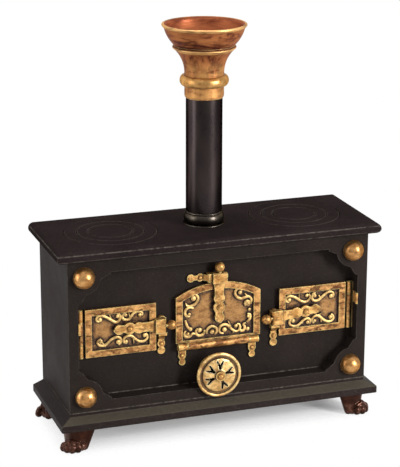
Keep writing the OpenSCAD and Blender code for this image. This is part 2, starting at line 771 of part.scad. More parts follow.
module arch_hinge_rivets() put() color(GOLD)
  for (sx = [-1, 1])
    panel_rivet(sx * tail_x, arch_hinge_z - tail_rivet);

// ---- scrollwork ----------------------------------------------------------------------

// Centre line of a scroll: it unwinds from the eye p, crosses to q and winds up again.
// turn is +1 or -1 for its hand
function scroll_path(p, q, rp, rq, turn) =
  let (d = q - p, along = atan2(d.y, d.x))
  let (at = along - turn * acos((rp + rq) / norm(d)), sweep = 270, n = 9)
  concat(
    [for (i = [0:n]) p + rp * (0.5 + 0.5 * i / n) * unit(at - turn * sweep * (1 - i / n))],
    [for (i = [0:n]) q + rq * (1 - 0.5 * i / n) * unit(at + 180 - turn * sweep * i / n)]
  );

// Sweeps a half-round section along a flat path, standing from depth 0 to depth h
module relief(path, w, h) {
  n = len(path);
  section = [[-1, 0], [-0.8, 0.65], [0, 1], [0.8, 0.65], [1, 0]];
  m = len(section);
  function tangent(i) = path[min(i + 1, n - 1)] - path[max(i - 1, 0)];
  function width(i) = w * (0.55 + 0.45 * sin(180 * i / (n - 1)));
  points = [
    for (i = [0:n - 1])
      let (t = tangent(i) / norm(tangent(i)), k = width(i))
      for (s = section) [path[i].x - t.y * s.x * k, -s.y * h, path[i].y + t.x * s.x * k]
  ];
  walls = [
    for (i = [0:n - 2]) for (j = [0:m - 1])
      let (a = i * m + j, b = i * m + (j + 1) % m, c = a + m, e = b + m)
      each [[a, b, c], [b, e, c]]
  ];
  polyhedron(points = points, faces = concat(
    [[for (j = [m - 1:-1:0]) j]], walls, [[for (j = [0:m - 1]) (n - 1) * m + j]]
  ));
}

// One scroll with a ball in each eye
module scroll(p, q, rp, rq, turn) {
  h = door_t - field_t - 0.1;
  relief(scroll_path(p, q, rp, rq, turn), scroll_w, h);
  for (c = [p, q]) translate([c.x, 0, c.y]) rotate([90, 0, 0])
    cylinder(h = h, r1 = scroll_eye, r2 = scroll_eye * 0.55);
}

// The scrolls of a side door, each as two eyes, their radii and a hand. Eyes are measured
// from the door's middle, in halves of the width and the height inside its bars
LEFT_SCROLLS = [
  [[-0.70, 0.68], [-0.12, 0.74], 2.4, 2.0, -1], [[0.19, 0.74], [0.67, 0.68], 1.9, 2.2, 1],
  [[-0.70, -0.51], [-0.12, -0.64], 2.4, 2.1, 1], [[0.21, -0.66], [0.81, -0.46], 2.1, 2.3, -1]
];
RIGHT_SCROLLS = [
  [[-0.82, 0.64], [-0.20, 0.76], 2.3, 2.0, -1], [[0.10, 0.72], [0.71, 0.63], 2.1, 2.4, 1],
  [[-0.69, -0.60], [-0.17, -0.74], 2.4, 2.0, 1], [[0.15, -0.72], [0.72, -0.62], 2.1, 2.4, -1]
];

module side_scrollwork(sx) put() color(GOLD)
  translate([sx * door_mid_x, field_y, door_mid_z]) {
    half = [door_w / 2 - door_bar, door_h / 2 - door_bar];
    for (s = sx < 0 ? LEFT_SCROLLS : RIGHT_SCROLLS) let (k = half.y / 11.55)
      scroll([s[0].x * half.x, s[0].y * half.y], [s[1].x * half.x, s[1].y * half.y], s[2] * k, s[3] * k, s[4]);
  }

// Scrolls along the bottom, the sides and the top corners of the centre door. Eyes are
// measured from the hinge, in halves of the inner width and in parts of the crown's height
CENTRE_SCROLLS = [
  [[-0.84, 0.20], [-0.54, 0.20], 1.9, 2.0, 1], [[-0.16, 0.20], [-0.34, 0.25], 2.3, 1.5, -1],
  [[0.18, 0.21], [0.50, 0.22], 2.3, 2.2, -1], [[0.84, 0.18], [0.86, 0.34], 1.6, 1.8, 1],
  [[-0.77, 0.30], [-0.84, 0.42], 1.4, 1.5, 1], [[-0.68, 0.73], [-0.79, 0.54], 2.3, 1.8, -1],
  [[0.84, 0.57], [0.62, 0.74], 1.9, 2.3, 1]
];

module centre_scrollwork() put() color(GOLD)
  translate([0, field_y, arch_hinge_z]) {
    half = arch_w / 2 - door_bar;
    for (s = CENTRE_SCROLLS) let (k = arch_crown / 41)
      scroll([s[0].x * half, s[0].y * arch_crown], [s[1].x * half, s[1].y * arch_crown], s[2] * k, s[3] * k, s[4]);
  }

// ---- latches -------------------------------------------------------------------------

// A latch lever lies along +X from its pivot at the origin, and is turned by angle
module at_latch(pivot, angle) translate([pivot.x, 0, pivot.y]) rotate([0, -angle, 0]) children();

// Where each latch turns, and the angle at which it rests
function latch_angle(which) = which == "left" ? -left_droop : which == "right" ? 180 + right_droop : 90;
function latch_pivot(which) = which == "left" ? left_pivot : which == "right" ? right_pivot : centre_pivot;

module lever_outline() {
  far = latch_len - block_l / 2;
  waist = neck_w * 0.4;
  tail = latch_len * 0.34;
  tip = latch_len * 0.53;
  lobe = latch_len * 0.305;
  circle(r = pivot_lobe_r);
  translate([-tail, -0.3]) circle(r = tip_lobe_r);
  polygon([[-tip, -0.9], [-tip * 0.8, -2.8], [-tail, 0], [-tip * 0.8, 2.2]]);
  translate([lobe, -0.1]) circle(r = pivot_lobe_r - 0.2);
  translate([-tail, -waist]) square([tail + lobe, 2 * waist]);
  polygon([[lobe, -neck_w / 2], [far - 4.5, -neck_w / 2], [far - 1.6, -neck_w / 2 - 0.5], [far + 0.2, -block_w / 2 + 0.3],
           [far + 0.2, block_w / 2 - 0.3], [far - 1.6, neck_w / 2 + 0.5], [far - 4.5, neck_w / 2], [lobe, neck_w / 2]]);
}

module latch(which) put() color(GOLD)
  at_latch(latch_pivot(which), latch_angle(which)) difference() {
    union() {
      upright(lever_y, lever_t) lever_outline();
      intersection() {
        upright(block_y, block_t) translate([latch_len, 0]) square([block_l, block_w], center = true);
        translate([latch_len, 0, -block_w]) linear_extrude(2 * block_w) polygon([
          [-block_l, lever_back_y], [-block_l, block_y + 0.8], [-block_l / 2 + 0.8, block_y],
          [block_l / 2 - 0.8, block_y], [block_l / 2, block_y + 0.8], [block_l / 2, lever_back_y]
        ]);
      }
    }
    rod(0, 0, block_y - CUT, lever_back_y + CUT, rivet_r + fit);
  }

// Ball with a short neck, riveted into the end of the lever's block
module latch_ball(which) put() color(GOLD)
  at_latch(latch_pivot(which), latch_angle(which)) {
    y = (block_y + lever_back_y) / 2 - 0.1;
    translate([ball_reach, y, 0]) sphere(r = ball_r);
    rod_x(latch_len + block_l / 2, ball_reach, y, 0, 1.3);
  }

module latch_rivet(which) put() color(GOLD) {
  p = latch_pivot(which);
  rod(p.x, p.y, lever_y - slide_gap, door_back_y, rivet_r);
  rod(p.x, p.y, lever_back_y + slide_gap, field_y, 2.2);
  translate([p.x, lever_y - slide_gap, p.y]) intersection() {
    sphere(r = 1.7);
    translate([-2, -2, -2]) cube([4, 2, 4]);
  }
}

// Keeper: a raised bar behind the latch block, a ledge that the block rests on, and a tail.
// It is drawn down from the middle of the block
module keeper_outline(ear, rivet) {
  w = keeper_w;
  translate([-w / 2, -block_w / 2 - 3]) square([w, block_w + 2.6]);
  intersection() {
    translate([0, block_w / 2 - 2.8 + ear]) circle(r = w / 2);
    translate([-w, 0]) square([2 * w, block_w + ear]);
  }
  translate([-w * 0.36, -rivet]) square([w * 0.72, rivet]);
  translate([0, -rivet]) circle(r = w * 0.47);
  translate([-w * 0.28, -keeper_len + keeper_tip_r]) square([w * 0.56, keeper_len - rivet]);
  translate([0, -keeper_len + keeper_tip_r]) circle(r = keeper_tip_r);
}

// Side profile of the keeper as (depth in front of the panel, height)
module keeper_profile(half) {
  ledge = half + slide_gap;
  far = keeper_len + 1;
  polygon([
    [0, half + 6], [0, -far], [strap_t, -far], [strap_t, -ledge - 5.2], [keeper_pad + 1.9, -ledge - 1.8],
    [keeper_pad + 1.9, -ledge + 1.4], [keeper_pad, -ledge + 1.4], [keeper_pad, half + 6]
  ]);
}

// Middle of each keeper, just past the middle of the latch block, and the way its tail points
function keeper_mid(which) =
  latch_pivot(which) + (latch_len + keeper_past(which)) * unit(latch_angle(which));
function keeper_past(which) = which == "left" ? 1.7 : which == "right" ? 0.9 : 0.2;
function keeper_angle(which) = which == "centre" ? 180 : -90;
function keeper_rivet(which) = which == "centre" ? 11.8 : 13.3;

module keeper(which, ear) put() color(GOLD) {
  mid = keeper_mid(which);
  difference() {
    translate([mid.x, 0, mid.y]) rotate([0, -keeper_angle(which) - 90, 0]) intersection() {
      upright(panel_y - 8, 8) keeper_outline(ear, keeper_rivet(which));
      translate([-keeper_w, 0, 0]) rotate([90, 0, 90]) linear_extrude(2 * keeper_w)
        mirror([1, 0]) translate([-panel_y, 0]) keeper_profile(block_w / 2);
    }
    at_latch(latch_pivot(which), latch_angle(which)) block(
      [latch_len - block_l, block_y - 2, -block_w / 2 - slide_gap],
      [latch_len + block_l, lever_back_y + slide_gap, block_w / 2 + slide_gap]
    );
    keeper_rivet_at(which) rod(0, 0, panel_y - 9, panel_y + CUT, small_rivet_r);
  }
}

module keeper_rivet_at(which) {
  p = keeper_mid(which) + keeper_rivet(which) * unit(keeper_angle(which));
  translate([p.x, 0, p.y]) children();
}

module keeper_rivets() put() color(GOLD)
  for (k = ["left", "right", "centre"]) keeper_rivet_at(k) panel_rivet(0, 0);

// ---- draft wheel ---------------------------------------------------------------------

// The five slots are cut by hand, so their angles differ
SLOT_ANGLES = [16, 87, 145, 203, 293];

// Slots that start narrow at the hub and fork outwards round a small leaf, w wide and l long;
// a leaf of no depth leaves a plain slot
module slots(l, w, leaf)
  for (a = SLOT_ANGLES) rotate(a) translate([slot_r, 0])
    polygon([[0, -w * 0.16], [l * 0.35, -w * 0.24], [l * 0.82, -w / 2], [l, -w * 0.36], [l - leaf, 0],
             [l, w * 0.36], [l * 0.82, w / 2], [l * 0.35, w * 0.24], [0, w * 0.16]]);

// Tube that brings air through the front panel: a flange on the panel, cut flat above the
// frame's bottom border, and a slotted disc that stands in front of the frame
module draft_port() put() color(IRON) {
  disc_r = web_r;
  gap = 0.3;
  difference() {
    translate([wheel_x, 0, wheel_axis_z]) difference() {
      union() {
        rod(0, 0, port_y, panel_y, port_r);
        rod(0, 0, port_y, port_y + port_face_t, disc_r);
        rod(0, 0, panel_y - 1, panel_y, port_r + 1.8);
      }
      rod(0, 0, port_y + port_face_t, panel_y + CUT, port_r - port_wall);
      upright(port_y - CUT, port_face_t + 2 * CUT) intersection() {
        slots(slot_l, 7, 0);
        circle(r = port_r - port_wall - 0.3);
      }
      rod(0, 0, port_y - CUT, port_y + port_face_t + CUT, wheel_pin_r);
    }
    block([wheel_x - 2 * port_r, front_y - gap, floor_z], [wheel_x + 2 * port_r, panel_y + CUT, opening_z0 + gap]);
  }
}

module draft_wheel() put() color(GOLD) translate([wheel_x, 0, wheel_axis_z]) {
  rim_c = wheel_r - wheel_rim_r;
  t = wheel_hub_t;
  difference() {
    translate([0, wheel_back_y, 0]) rotate([90, 0, 0]) rotate_extrude() {
      polygon([
        [wheel_pin_r + fit, 0], [rim_c, 0], [rim_c, 0.8], [web_r, 0.8], [web_r - 0.15, 1.6],
        [web_r - 0.7, 2], [web_r * 0.72, 2.5], [4.6, t - 0.5], [3.4, t], [wheel_pin_r + fit, t]
      ]);
      translate([rim_c, wheel_rim_r]) circle(r = wheel_rim_r);
    }
    upright(wheel_y - CUT, wheel_hub_t + 2 * CUT) slots(slot_l, 5, slot_l * 0.48);
  }
}

module wheel_pin() put() color(GOLD) translate([wheel_x, 0, wheel_axis_z]) {
  rod(0, 0, head_y - head_t, port_y + port_face_t, wheel_pin_r);
  rod(0, 0, head_y - head_t, head_y, 3.2);
  translate([0, head_y - head_t, 0]) intersection() {
    sphere(r = cap_r);
    translate([-3, -3, -3]) cube([6, 3, 6]);
  }
}

// ---- the stove -----------------------------------------------------------------------

base_plinth();
foot(false, false);  // foot_front_left
foot(true, false);  // foot_front_right
foot(false, true);  // foot_back_left
foot(true, true);  // foot_back_right
side_panel(-1);  // side_panel_left
side_panel(1);  // side_panel_right
back_panel();
front_frame();
front_panel();
partition(-1);  // partition_left
partition(1);  // partition_right
fire_grate();
top_plate();
dome_bolts();
dome_nuts();
hob_ring(-1);  // hob_ring_left
hob_ring(1);  // hob_ring_right
hob_lid(-1);  // hob_lid_left
hob_lid(1);  // hob_lid_right
flue_collar();
flue_pipe();
chimney_pot();
chimney_band();
side_door(-1);  // door_left
side_door(1);  // door_right
door_centre();
side_scrollwork(-1);  // scrollwork_left
side_scrollwork(1);  // scrollwork_right
centre_scrollwork();  // scrollwork_centre
hinge_leaf(-1);  // hinge_left
hinge_leaf(1);  // hinge_right
hinge_pin(-1);  // hinge_pin_left
hinge_pin(1);  // hinge_pin_right
arch_hinge(-1);  // arch_hinge_left
arch_hinge(1);  // arch_hinge_right
arch_hinge_pins();
arch_hinge_rivets();
latch("left");  // latch_left
latch("right");  // latch_right
latch("centre");  // latch_centre
latch_ball("left");  // latch_ball_left
latch_ball("right");  // latch_ball_right
latch_ball("centre");  // latch_ball_centre
latch_rivet("left");  // latch_rivet_left
latch_rivet("right");  // latch_rivet_right
latch_rivet("centre");  // latch_rivet_centre
keeper("left", 1);  // keeper_left
keeper("right", 0.4);  // keeper_right
keeper("centre", 1.8);  // keeper_centre
keeper_rivets();
draft_port();
draft_wheel();
wheel_pin();
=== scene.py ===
import json
import math

import bmesh
import bpy
from mathutils import Matrix, Vector


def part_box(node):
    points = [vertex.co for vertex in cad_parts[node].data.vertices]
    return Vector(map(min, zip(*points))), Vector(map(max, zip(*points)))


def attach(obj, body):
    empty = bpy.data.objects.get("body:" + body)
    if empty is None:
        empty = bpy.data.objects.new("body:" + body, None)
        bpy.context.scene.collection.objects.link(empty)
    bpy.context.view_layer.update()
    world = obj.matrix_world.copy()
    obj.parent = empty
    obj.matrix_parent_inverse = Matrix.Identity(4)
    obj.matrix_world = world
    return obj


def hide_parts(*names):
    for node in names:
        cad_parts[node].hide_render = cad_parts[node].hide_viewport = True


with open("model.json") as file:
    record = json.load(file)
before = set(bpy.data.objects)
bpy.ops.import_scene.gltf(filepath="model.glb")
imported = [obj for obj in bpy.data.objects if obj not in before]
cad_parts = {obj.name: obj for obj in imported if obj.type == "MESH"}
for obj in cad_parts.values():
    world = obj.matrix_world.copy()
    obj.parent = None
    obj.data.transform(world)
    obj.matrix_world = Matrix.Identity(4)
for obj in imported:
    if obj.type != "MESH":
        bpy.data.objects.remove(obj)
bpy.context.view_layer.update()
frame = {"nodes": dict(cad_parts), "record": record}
nodes = frame["nodes"]

BODY_OF = {n: b for b, ns in frame["record"]["behaviour"]["bodies"].items() for n in ns}


# ---- sizes, taken from the frame --------------------------------------------------------
# Sizes are in mm and angles in degrees, unless a comment says otherwise. The stove's own y is
# 0 on the axis of its pipe, which stands SHIFT_Y behind the frame's origin.

MM = 0.001


def lowest(node, axis):
    """The lowest place of a CAD node on one axis."""
    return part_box(node)[0][axis] / MM


def highest(node, axis):
    """The highest place of a CAD node on one axis."""
    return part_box(node)[1][axis] / MM


SHIFT_Y = (lowest("front_frame", 1) + highest("back_panel", 1)) / 2
CASING_X = highest("front_frame", 0)
CASING_FRONT = lowest("front_frame", 1) - SHIFT_Y
CASING_BACK = highest("back_panel", 1) - SHIFT_Y
CASING_Z = lowest("front_frame", 2)
PLINTH_X = highest("base_plinth", 0)
PLINTH_FRONT = lowest("base_plinth", 1) - SHIFT_Y
FIELD_Y = highest("scrollwork_left", 1) - SHIFT_Y  # front face of the doors' sunk fields
PIPE_R = highest("flue_pipe", 0)
HOB_Z = highest("top_plate", 2)
POT_Z = lowest("chimney_pot", 2)


def spot(x, y, z):
    """A place in the stove's own mm, as the scene wants it."""
    return Vector((x, y + SHIFT_Y, z)) * MM


def toward(azimuth, elevation):
    """A direction out from the stove: azimuth 0 is the front, positive to the right."""
    a, e = math.radians(azimuth), math.radians(elevation)
    return Vector((math.sin(a) * math.cos(e), -math.cos(a) * math.cos(e), math.sin(e)))


def link(obj):
    bpy.context.scene.collection.objects.link(obj)
    return obj


# ---- camera -----------------------------------------------------------------------------

LENS, SENSOR = 133.9, 36.0
NEAR, FAR = 0.05, 50.0  # m
CAMERA_AIM = (-2.54, 0, 124.43)
CAMERA_AZIMUTH, CAMERA_ELEVATION, CAMERA_ROLL = -19.11, 16.89, 0.15
CAMERA_DISTANCE = 1116.1


def add_camera():
    """Stands where the photograph was taken from."""
    data = bpy.data.cameras.new("camera")
    data.lens = LENS
    data.sensor_width = SENSOR
    data.clip_start = NEAR
    data.clip_end = FAR
    cam = link(bpy.data.objects.new("camera", data))
    away = toward(CAMERA_AZIMUTH, CAMERA_ELEVATION)
    roll = Matrix.Rotation(math.radians(CAMERA_ROLL), 4, "Z").to_quaternion()
    cam.location = spot(*CAMERA_AIM) + away * CAMERA_DISTANCE * MM
    cam.rotation_euler = (away.to_track_quat("Z", "Y") @ roll).to_euler()
    bpy.context.scene.camera = cam


add_camera()


# ---- shader helpers ---------------------------------------------------------------------

WHITE = (1.0, 1.0, 1.0, 1.0)
EDGE_SAMPLES = 6
CAVITY_SAMPLES = 8


def lin(r, g, b):
    """A colour given as 0-255 screen values, as the shader wants it."""
    def f(v):
        v /= 255.0
        return v / 12.92 if v <= 0.04045 else ((v + 0.055) / 1.055) ** 2.4
    return (f(r), f(g), f(b), 1.0)


def tone(colour, factor, add=0):
    """A 0-255 colour made lighter or darker, as the shader wants it."""
    return lin(*[min(255, v * factor + add) for v in colour])


def tinted(colour, *factors):
    """A 0-255 colour with each channel scaled by its own factor, as the shader wants it."""
    return lin(*[v * f for v, f in zip(colour, factors)])


class Shader:
    """A small builder for shader nodes. Values and outputs of nodes go in alike."""

    def __init__(self, tree):
        self.tree = tree
        tree.nodes.clear()

    def node(self, kind, inputs=None, **settings):
        """A new node with these settings, and these values or outputs on its inputs."""
        n = self.tree.nodes.new("ShaderNode" + kind)
        for key, value in settings.items():
            setattr(n, key, value)
        for socket, value in (inputs or {}).items():
            self.put(n.inputs[socket], value)
        return n

    def put(self, socket, value):
        if hasattr(value, "links"):
            self.tree.links.new(value, socket)
        else:
            socket.default_value = value

    def math(self, op, a, b=0.0, clamp=False):
        return self.node("Math", {0: a, 1: b}, operation=op, use_clamp=clamp).outputs[0]

    def plus(self, a, b, clamp=False):
        return self.math("ADD", a, b, clamp)

    def minus(self, a, b, clamp=False):
        return self.math("SUBTRACT", a, b, clamp)

    def most(self, a, b):
        return self.math("MAXIMUM", a, b)

    def size(self, a):
        return self.math("ABSOLUTE", a)

    def times(self, *factors):
        total = factors[0]
        for factor in factors[1:]:
            total = self.math("MULTIPLY", total, factor)
        return total

    def swing(self, grain, much):
        """A noise moved to swing round 0, by half of much to either side."""
        return self.times(self.minus(grain, 0.5), much)

    def vector(self, op, a, b=(0.0, 0.0, 0.0)):
        """A sum of vectors, or the number that a dot product or a length gives."""
        n = self.node("VectorMath", {0: a, 1: b}, operation=op)
        return n.outputs["Value" if op in ("DOT_PRODUCT", "LENGTH") else "Vector"]

    def part(self, vector, axis):
        return self.node("SeparateXYZ", {0: vector}).outputs[axis]

    def span(self, value, start, end, low=0.0, high=1.0):
        """Turns softly from low to high while the value goes from start to end."""
        ends = {"From Min": start, "From Max": end, "To Min": low, "To Max": high}
        n = self.node("MapRange", {"Value": value, **ends}, interpolation_type="SMOOTHSTEP")
        return n.outputs["Result"]

    def fall(self, value, start, end):
        """Turns softly from 1 to 0 while the value goes from start to end."""
        return self.minus(1.0, self.span(value, start, end))


class Mat(Shader):
    """A material in object coordinates, with a principled shader at its end."""

    SOCKETS = {"color": "Base Color", "rough": "Roughness", "metal": "Metallic",
               "spec": "Specular IOR Level", "tint": "Specular Tint"}

    def __init__(self, name):
        self.m = bpy.data.materials.new(name)
        self.m.use_nodes = True
        super().__init__(self.m.node_tree)
        self.bsdf = self.node("BsdfPrincipled")
        self.out = self.node("OutputMaterial", {0: self.bsdf.outputs[0]})
        self.tc = self.node("TexCoord").outputs["Object"]
        self.relief = None

    def set(self, **values):
        for key, value in values.items():
            self.put(self.bsdf.inputs[self.SOCKETS[key]], value)

    def noise(self, scale, detail, rough, stretch=(1, 1, 1), distortion=0.0, move=(0, 0, 0)):
        place = self.node("Mapping", {"Vector": self.tc, "Scale": stretch, "Location": move})
        n = self.node("TexNoise", {"Vector": place.outputs[0], "Scale": scale, "Detail": detail,
                                   "Roughness": rough, "Distortion": distortion})
        return n.outputs["Fac"]

    def ramp(self, fac, first, last):
        """Runs evenly from one value to another. first and last are (place, value)."""
        n = self.node("ValToRGB", {"Fac": fac})
        for stop, (place, value) in zip(n.color_ramp.elements, (first, last)):
            stop.position = place
            stop.color = (value, value, value, 1.0)
        return n.outputs["Color"]

    def mix(self, fac, a, b):
        return self.node("Mix", {0: fac, 6: a, 7: b}, data_type="RGBA").outputs[2]

    def axis(self, which):
        return self.part(self.tc, which)

    def depth(self, start, end):
        """Turns from 0 to 1 between two places on the stove's own y."""
        return self.span(self.axis("Y"), (start + SHIFT_Y) * MM, (end + SHIFT_Y) * MM)

    def normal(self):
        return self.node("NewGeometry").outputs["Normal"]

    def facing(self, axis):
        """One part of the surface's direction, from -1 to 1."""
        return self.part(self.normal(), axis)

    def facing_in(self):
        """1 where a surface faces the pipe's own axis, as the inside of the pot does."""
        inward = self.vector("MULTIPLY", self.vector("SUBTRACT", self.tc, spot(0, 0, 0)), (-1, -1, 0))
        return self.vector("DOT_PRODUCT", self.vector("NORMALIZE", inward), self.normal())

    def cavity(self, reach, local=False):
        """1 in the open, falling towards 0 in corners and under overlaps."""
        n = self.node("AmbientOcclusion", {"Distance": reach * MM}, samples=CAVITY_SAMPLES,
                      only_local=local)
        return n.outputs["AO"]

    def edge(self, radius):
        """0 on flat ground, rising towards 1 on sharp edges."""
        bevel = self.node("Bevel", {"Radius": radius * MM}, samples=EDGE_SAMPLES)
        dot = self.vector("DOT_PRODUCT", bevel.outputs[0], self.normal())
        return self.minus(1.0, dot, clamp=True)

    def bump(self, height, strength, deep):
        n = self.node("Bump", {"Height": height, "Strength": strength, "Distance": deep * MM})
        if self.relief is not None:
            self.put(n.inputs["Normal"], self.relief)
        self.relief = n.outputs[0]
        self.put(self.bsdf.inputs["Normal"], self.relief)


# ---- black paint ------------------------------------------------------------------------

def black_paint(name, base, worn, rough=(0.42, 0.56), spec=0.02, rub_at=(0.03, 0.22), rub_most=0.8,
                lines=(), bevel_highlight=None, lit_from_floor=None):
    """Satin brown-black paint over a cast surface, rubbed lighter at its edges.

    rub_at is how sharp an edge is where the rubbing starts and where it is full, and rub_most
    its strength. lines are (height, half width, strength) of thin lighter lines, broken by noise,
    that run level round the piece. bevel_highlight is a painted highlight: the lighter colour of a
    bevel that faces upwards in front. lit_from_floor are the two heights between which a painted
    lighter shade, standing for light thrown up from the floor, fades out."""
    m = Mat(name)
    cloud = m.noise(34, 4, 0.6)
    fine = m.noise(950, 3, 0.6)
    speck = m.noise(2600, 2, 0.5)
    chips = m.noise(420, 5, 0.75, move=(0.2, 0.4, 0.1))
    col = m.mix(m.ramp(cloud, (0.3, 0.0), (0.72, 1.0)), lin(*base), tone(base, 1.2, 2))
    # Painted highlight: the bevel that faces upwards in front is drawn lighter.
    if bevel_highlight:
        bevel = m.times(m.span(m.facing("Z"), 0.25, 0.6), m.fall(m.facing("Y"), -0.3, -0.1))
        col = m.mix(m.times(bevel, m.ramp(chips, (0.3, 0.7), (0.6, 1.0))), col, lin(*bevel_highlight))
    # Painted light from the floor: lighter low down, fading out upwards.
    if lit_from_floor:
        foot = m.fall(m.axis("Z"), lit_from_floor[0] * MM, lit_from_floor[1] * MM)
        col = m.mix(m.times(foot, m.ramp(chips, (0.35, 0.35), (0.62, 1.0))), col, tone(base, 1.15, 3))
    col = m.mix(m.ramp(fine, (0.55, 0.0), (0.72, 0.35)), col, tone(base, 1.45, 5))
    col = m.mix(m.ramp(speck, (0.64, 0.0), (0.73, 0.4)), col, lin(*worn))
    rub = m.times(m.span(m.edge(0.6), *rub_at), m.ramp(chips, (0.36, 0.0), (0.58, rub_most)))
    for z, half, strength in lines:
        off = m.size(m.minus(m.axis("Z"), z * MM))
        near = m.fall(off, half * 0.4 * MM, half * MM)
        rub = m.most(rub, m.times(near, m.ramp(chips, (0.38, 0.0), (0.6, strength))))
    m.set(color=m.mix(rub, col, lin(*worn)), rough=m.span(cloud, 0.25, 0.75, *rough), spec=spec)
    m.bump(fine, 0.18, 0.3)
    m.bump(speck, 0.1, 0.14)
    m.bump(cloud, 0.25, 0.6)
    return m.m


def pipe_paint(name, dark, light, rough):
    """Glossy stove enamel, black with a brown cast, streaked down the pipe."""
    m = Mat(name)
    cloud = m.noise(60, 4, 0.6, (1, 1, 0.35))
    fine = m.noise(900, 3, 0.6)
    speck = m.noise(2400, 2, 0.5)
    chips = m.noise(420, 5, 0.75)
    col = m.mix(m.ramp(cloud, (0.35, 0.0), (0.65, 1.0)), lin(*dark), lin(*light))
    col = m.mix(m.ramp(speck, (0.68, 0.0), (0.76, 0.4)), col, lin(150, 138, 126))
    # Painted shade: darker in corners, creases and where parts meet.
    col = m.mix(m.fall(m.cavity(2.5), 0.45, 0.95), col, lin(30, 25, 25))
    rub = m.times(m.span(m.edge(0.5), 0.04, 0.2), m.ramp(chips, (0.4, 0.0), (0.6, 0.9)))
    m.set(color=m.mix(rub, col, lin(196, 180, 164)), rough=m.span(cloud, 0.3, 0.7, *rough),
          metal=1.0, tint=(0.1, 0.1, 0.1, 1.0))
    m.bump(fine, 0.1, 0.2)
    m.bump(cloud, 0.12, 0.5)
    return m.m


# ---- gold -------------------------------------------------------------------------------

def gold(name, bright, mid, dark, reach=1.3, rough=(0.34, 0.5), patina=0.95, shade=0.7, metal=0.55,
         tint=WHITE, patches=1.0, relief=1.0, field=None, ridge=None, slots=None):
    """Antique gold: brushed gold on what stands out, brown left in the corners and in patches.

    reach is how far out of a corner the brown comes, and patina the strength of that brown and
    of a painted shade on undersides, whose own strength is shade. patches is the strength of the
    brown patches and relief that of the bumps. field is the depth between which the sunk panel of a
    door turns from bar to field. ridge is the depth between which relief lines turn from a painted
    shade on their flanks to a painted highlight on their backs. slots are the wheel's centre and
    the directions in degrees in which brown leaves lie on it."""
    m = Mat(name)
    wash = m.noise(210, 5, 0.68)
    fine = m.noise(1300, 3, 0.6)
    smear = m.noise(330, 4, 0.68, (0.5, 1, 1), 0.6)
    stain = m.noise(150, 5, 0.72, (1, 1, 1), 0.5, (0.3, 0.1, 0.2))
    smears = m.times(m.ramp(smear, (0.47, 0.0), (0.6, 0.95)), patches)
    stains = m.times(m.ramp(stain, (0.54, 0.0), (0.66, 0.85)), patches)
    col = m.mix(m.ramp(wash, (0.4, 0.0), (0.6, 1.0)), lin(*mid), lin(*bright))
    col = m.mix(smears, col, tinted(mid, 0.54, 0.5, 0.44))
    col = m.mix(stains, col, tinted(mid, 0.62, 0.5, 0.42))
    deep = m.fall(m.plus(m.cavity(reach), m.swing(wash, 0.34)), 0.6, 0.97)
    # Painted shade: surfaces that face down are drawn darker.
    under = m.span(m.times(m.facing("Z"), -1.0), 0.35, 0.85, 0.0, shade)
    # The brown patina of the corners together with the painted shade of the undersides.
    patina_and_shade = m.math("MULTIPLY", m.most(deep, under), patina, clamp=True)
    if field:
        inside = m.depth(*field)
        patina_and_shade = m.most(patina_and_shade, m.times(inside, field_dirt(m)))
        col = m.mix(m.times(inside, 0.6), col, tone(mid, 0.74))
        col = m.mix(m.times(inside, m.ramp(smear, (0.42, 0.0), (0.58, 0.4))), col, tone(bright, 1.1, 10))
    if slots:
        # Brown leaves on the wheel, and the brown of its groove, which is partly painted shade.
        col = m.mix(leaves(m, slots, wash), col, lin(104, 66, 32))
    col = m.mix(patina_and_shade, col, lin(*dark))
    # Rubbed gold on the edges is wear, drawn brighter where the edges face up, which is a painted
    # highlight.
    rub = m.times(m.span(m.edge(0.7), 0.012, 0.11), m.ramp(wash, (0.25, 0.5), (0.5, 1.0)),
                  m.span(m.facing("Z"), -0.3, 0.35, 0.55, 1.0), m.minus(1.0, patina_and_shade))
    col = m.mix(rub, col, tone(bright, 1.22, 34))
    if ridge:
        # Painted shade on the flanks of the relief lines and a painted highlight on their backs.
        back = m.depth(*ridge)
        shine = m.times(m.span(back, 0.5, 1.0), m.ramp(wash, (0.35, 0.15), (0.6, 0.85)))
        col = m.mix(shine, m.mix(back, lin(*dark), col), tone(bright, 1.14, 20))
    m.set(color=col, rough=m.span(wash, 0.3, 0.75, *rough),
          metal=m.minus(metal, m.times(patina_and_shade, metal * 0.8)), spec=0.35, tint=tint)
    m.bump(wash, 0.35 * relief, 0.6)
    m.bump(fine, 0.16 * relief, 0.2)
    return m.m


def field_dirt(m):
    """Near black round the scrolls and borders of a door's field, rubbed away in its middle."""
    grain = m.noise(460, 5, 0.78)
    worn = m.plus(m.span(m.cavity(3.4), 0.84, 0.985), m.swing(grain, 3.2), clamp=True)
    return m.minus(1.0, m.times(worn, 0.9))


# A leaf's half width is LEAF_SPREAD of the way out from the wheel's centre, less LEAF_LESS.
LEAF_SPREAD, LEAF_LESS = 0.42, 0.5
LEAF_END = (7.2, 9.0)  # radii between which a leaf fades out
LEAF_RAGGED, LEAF_SOFT = 1.6, 0.6  # how far its edge wanders, and how soft it is
GROOVE_IN, GROOVE_OUT = (10.6, 11.3), (12.0, 12.7)  # radii of the brown groove's soft edges


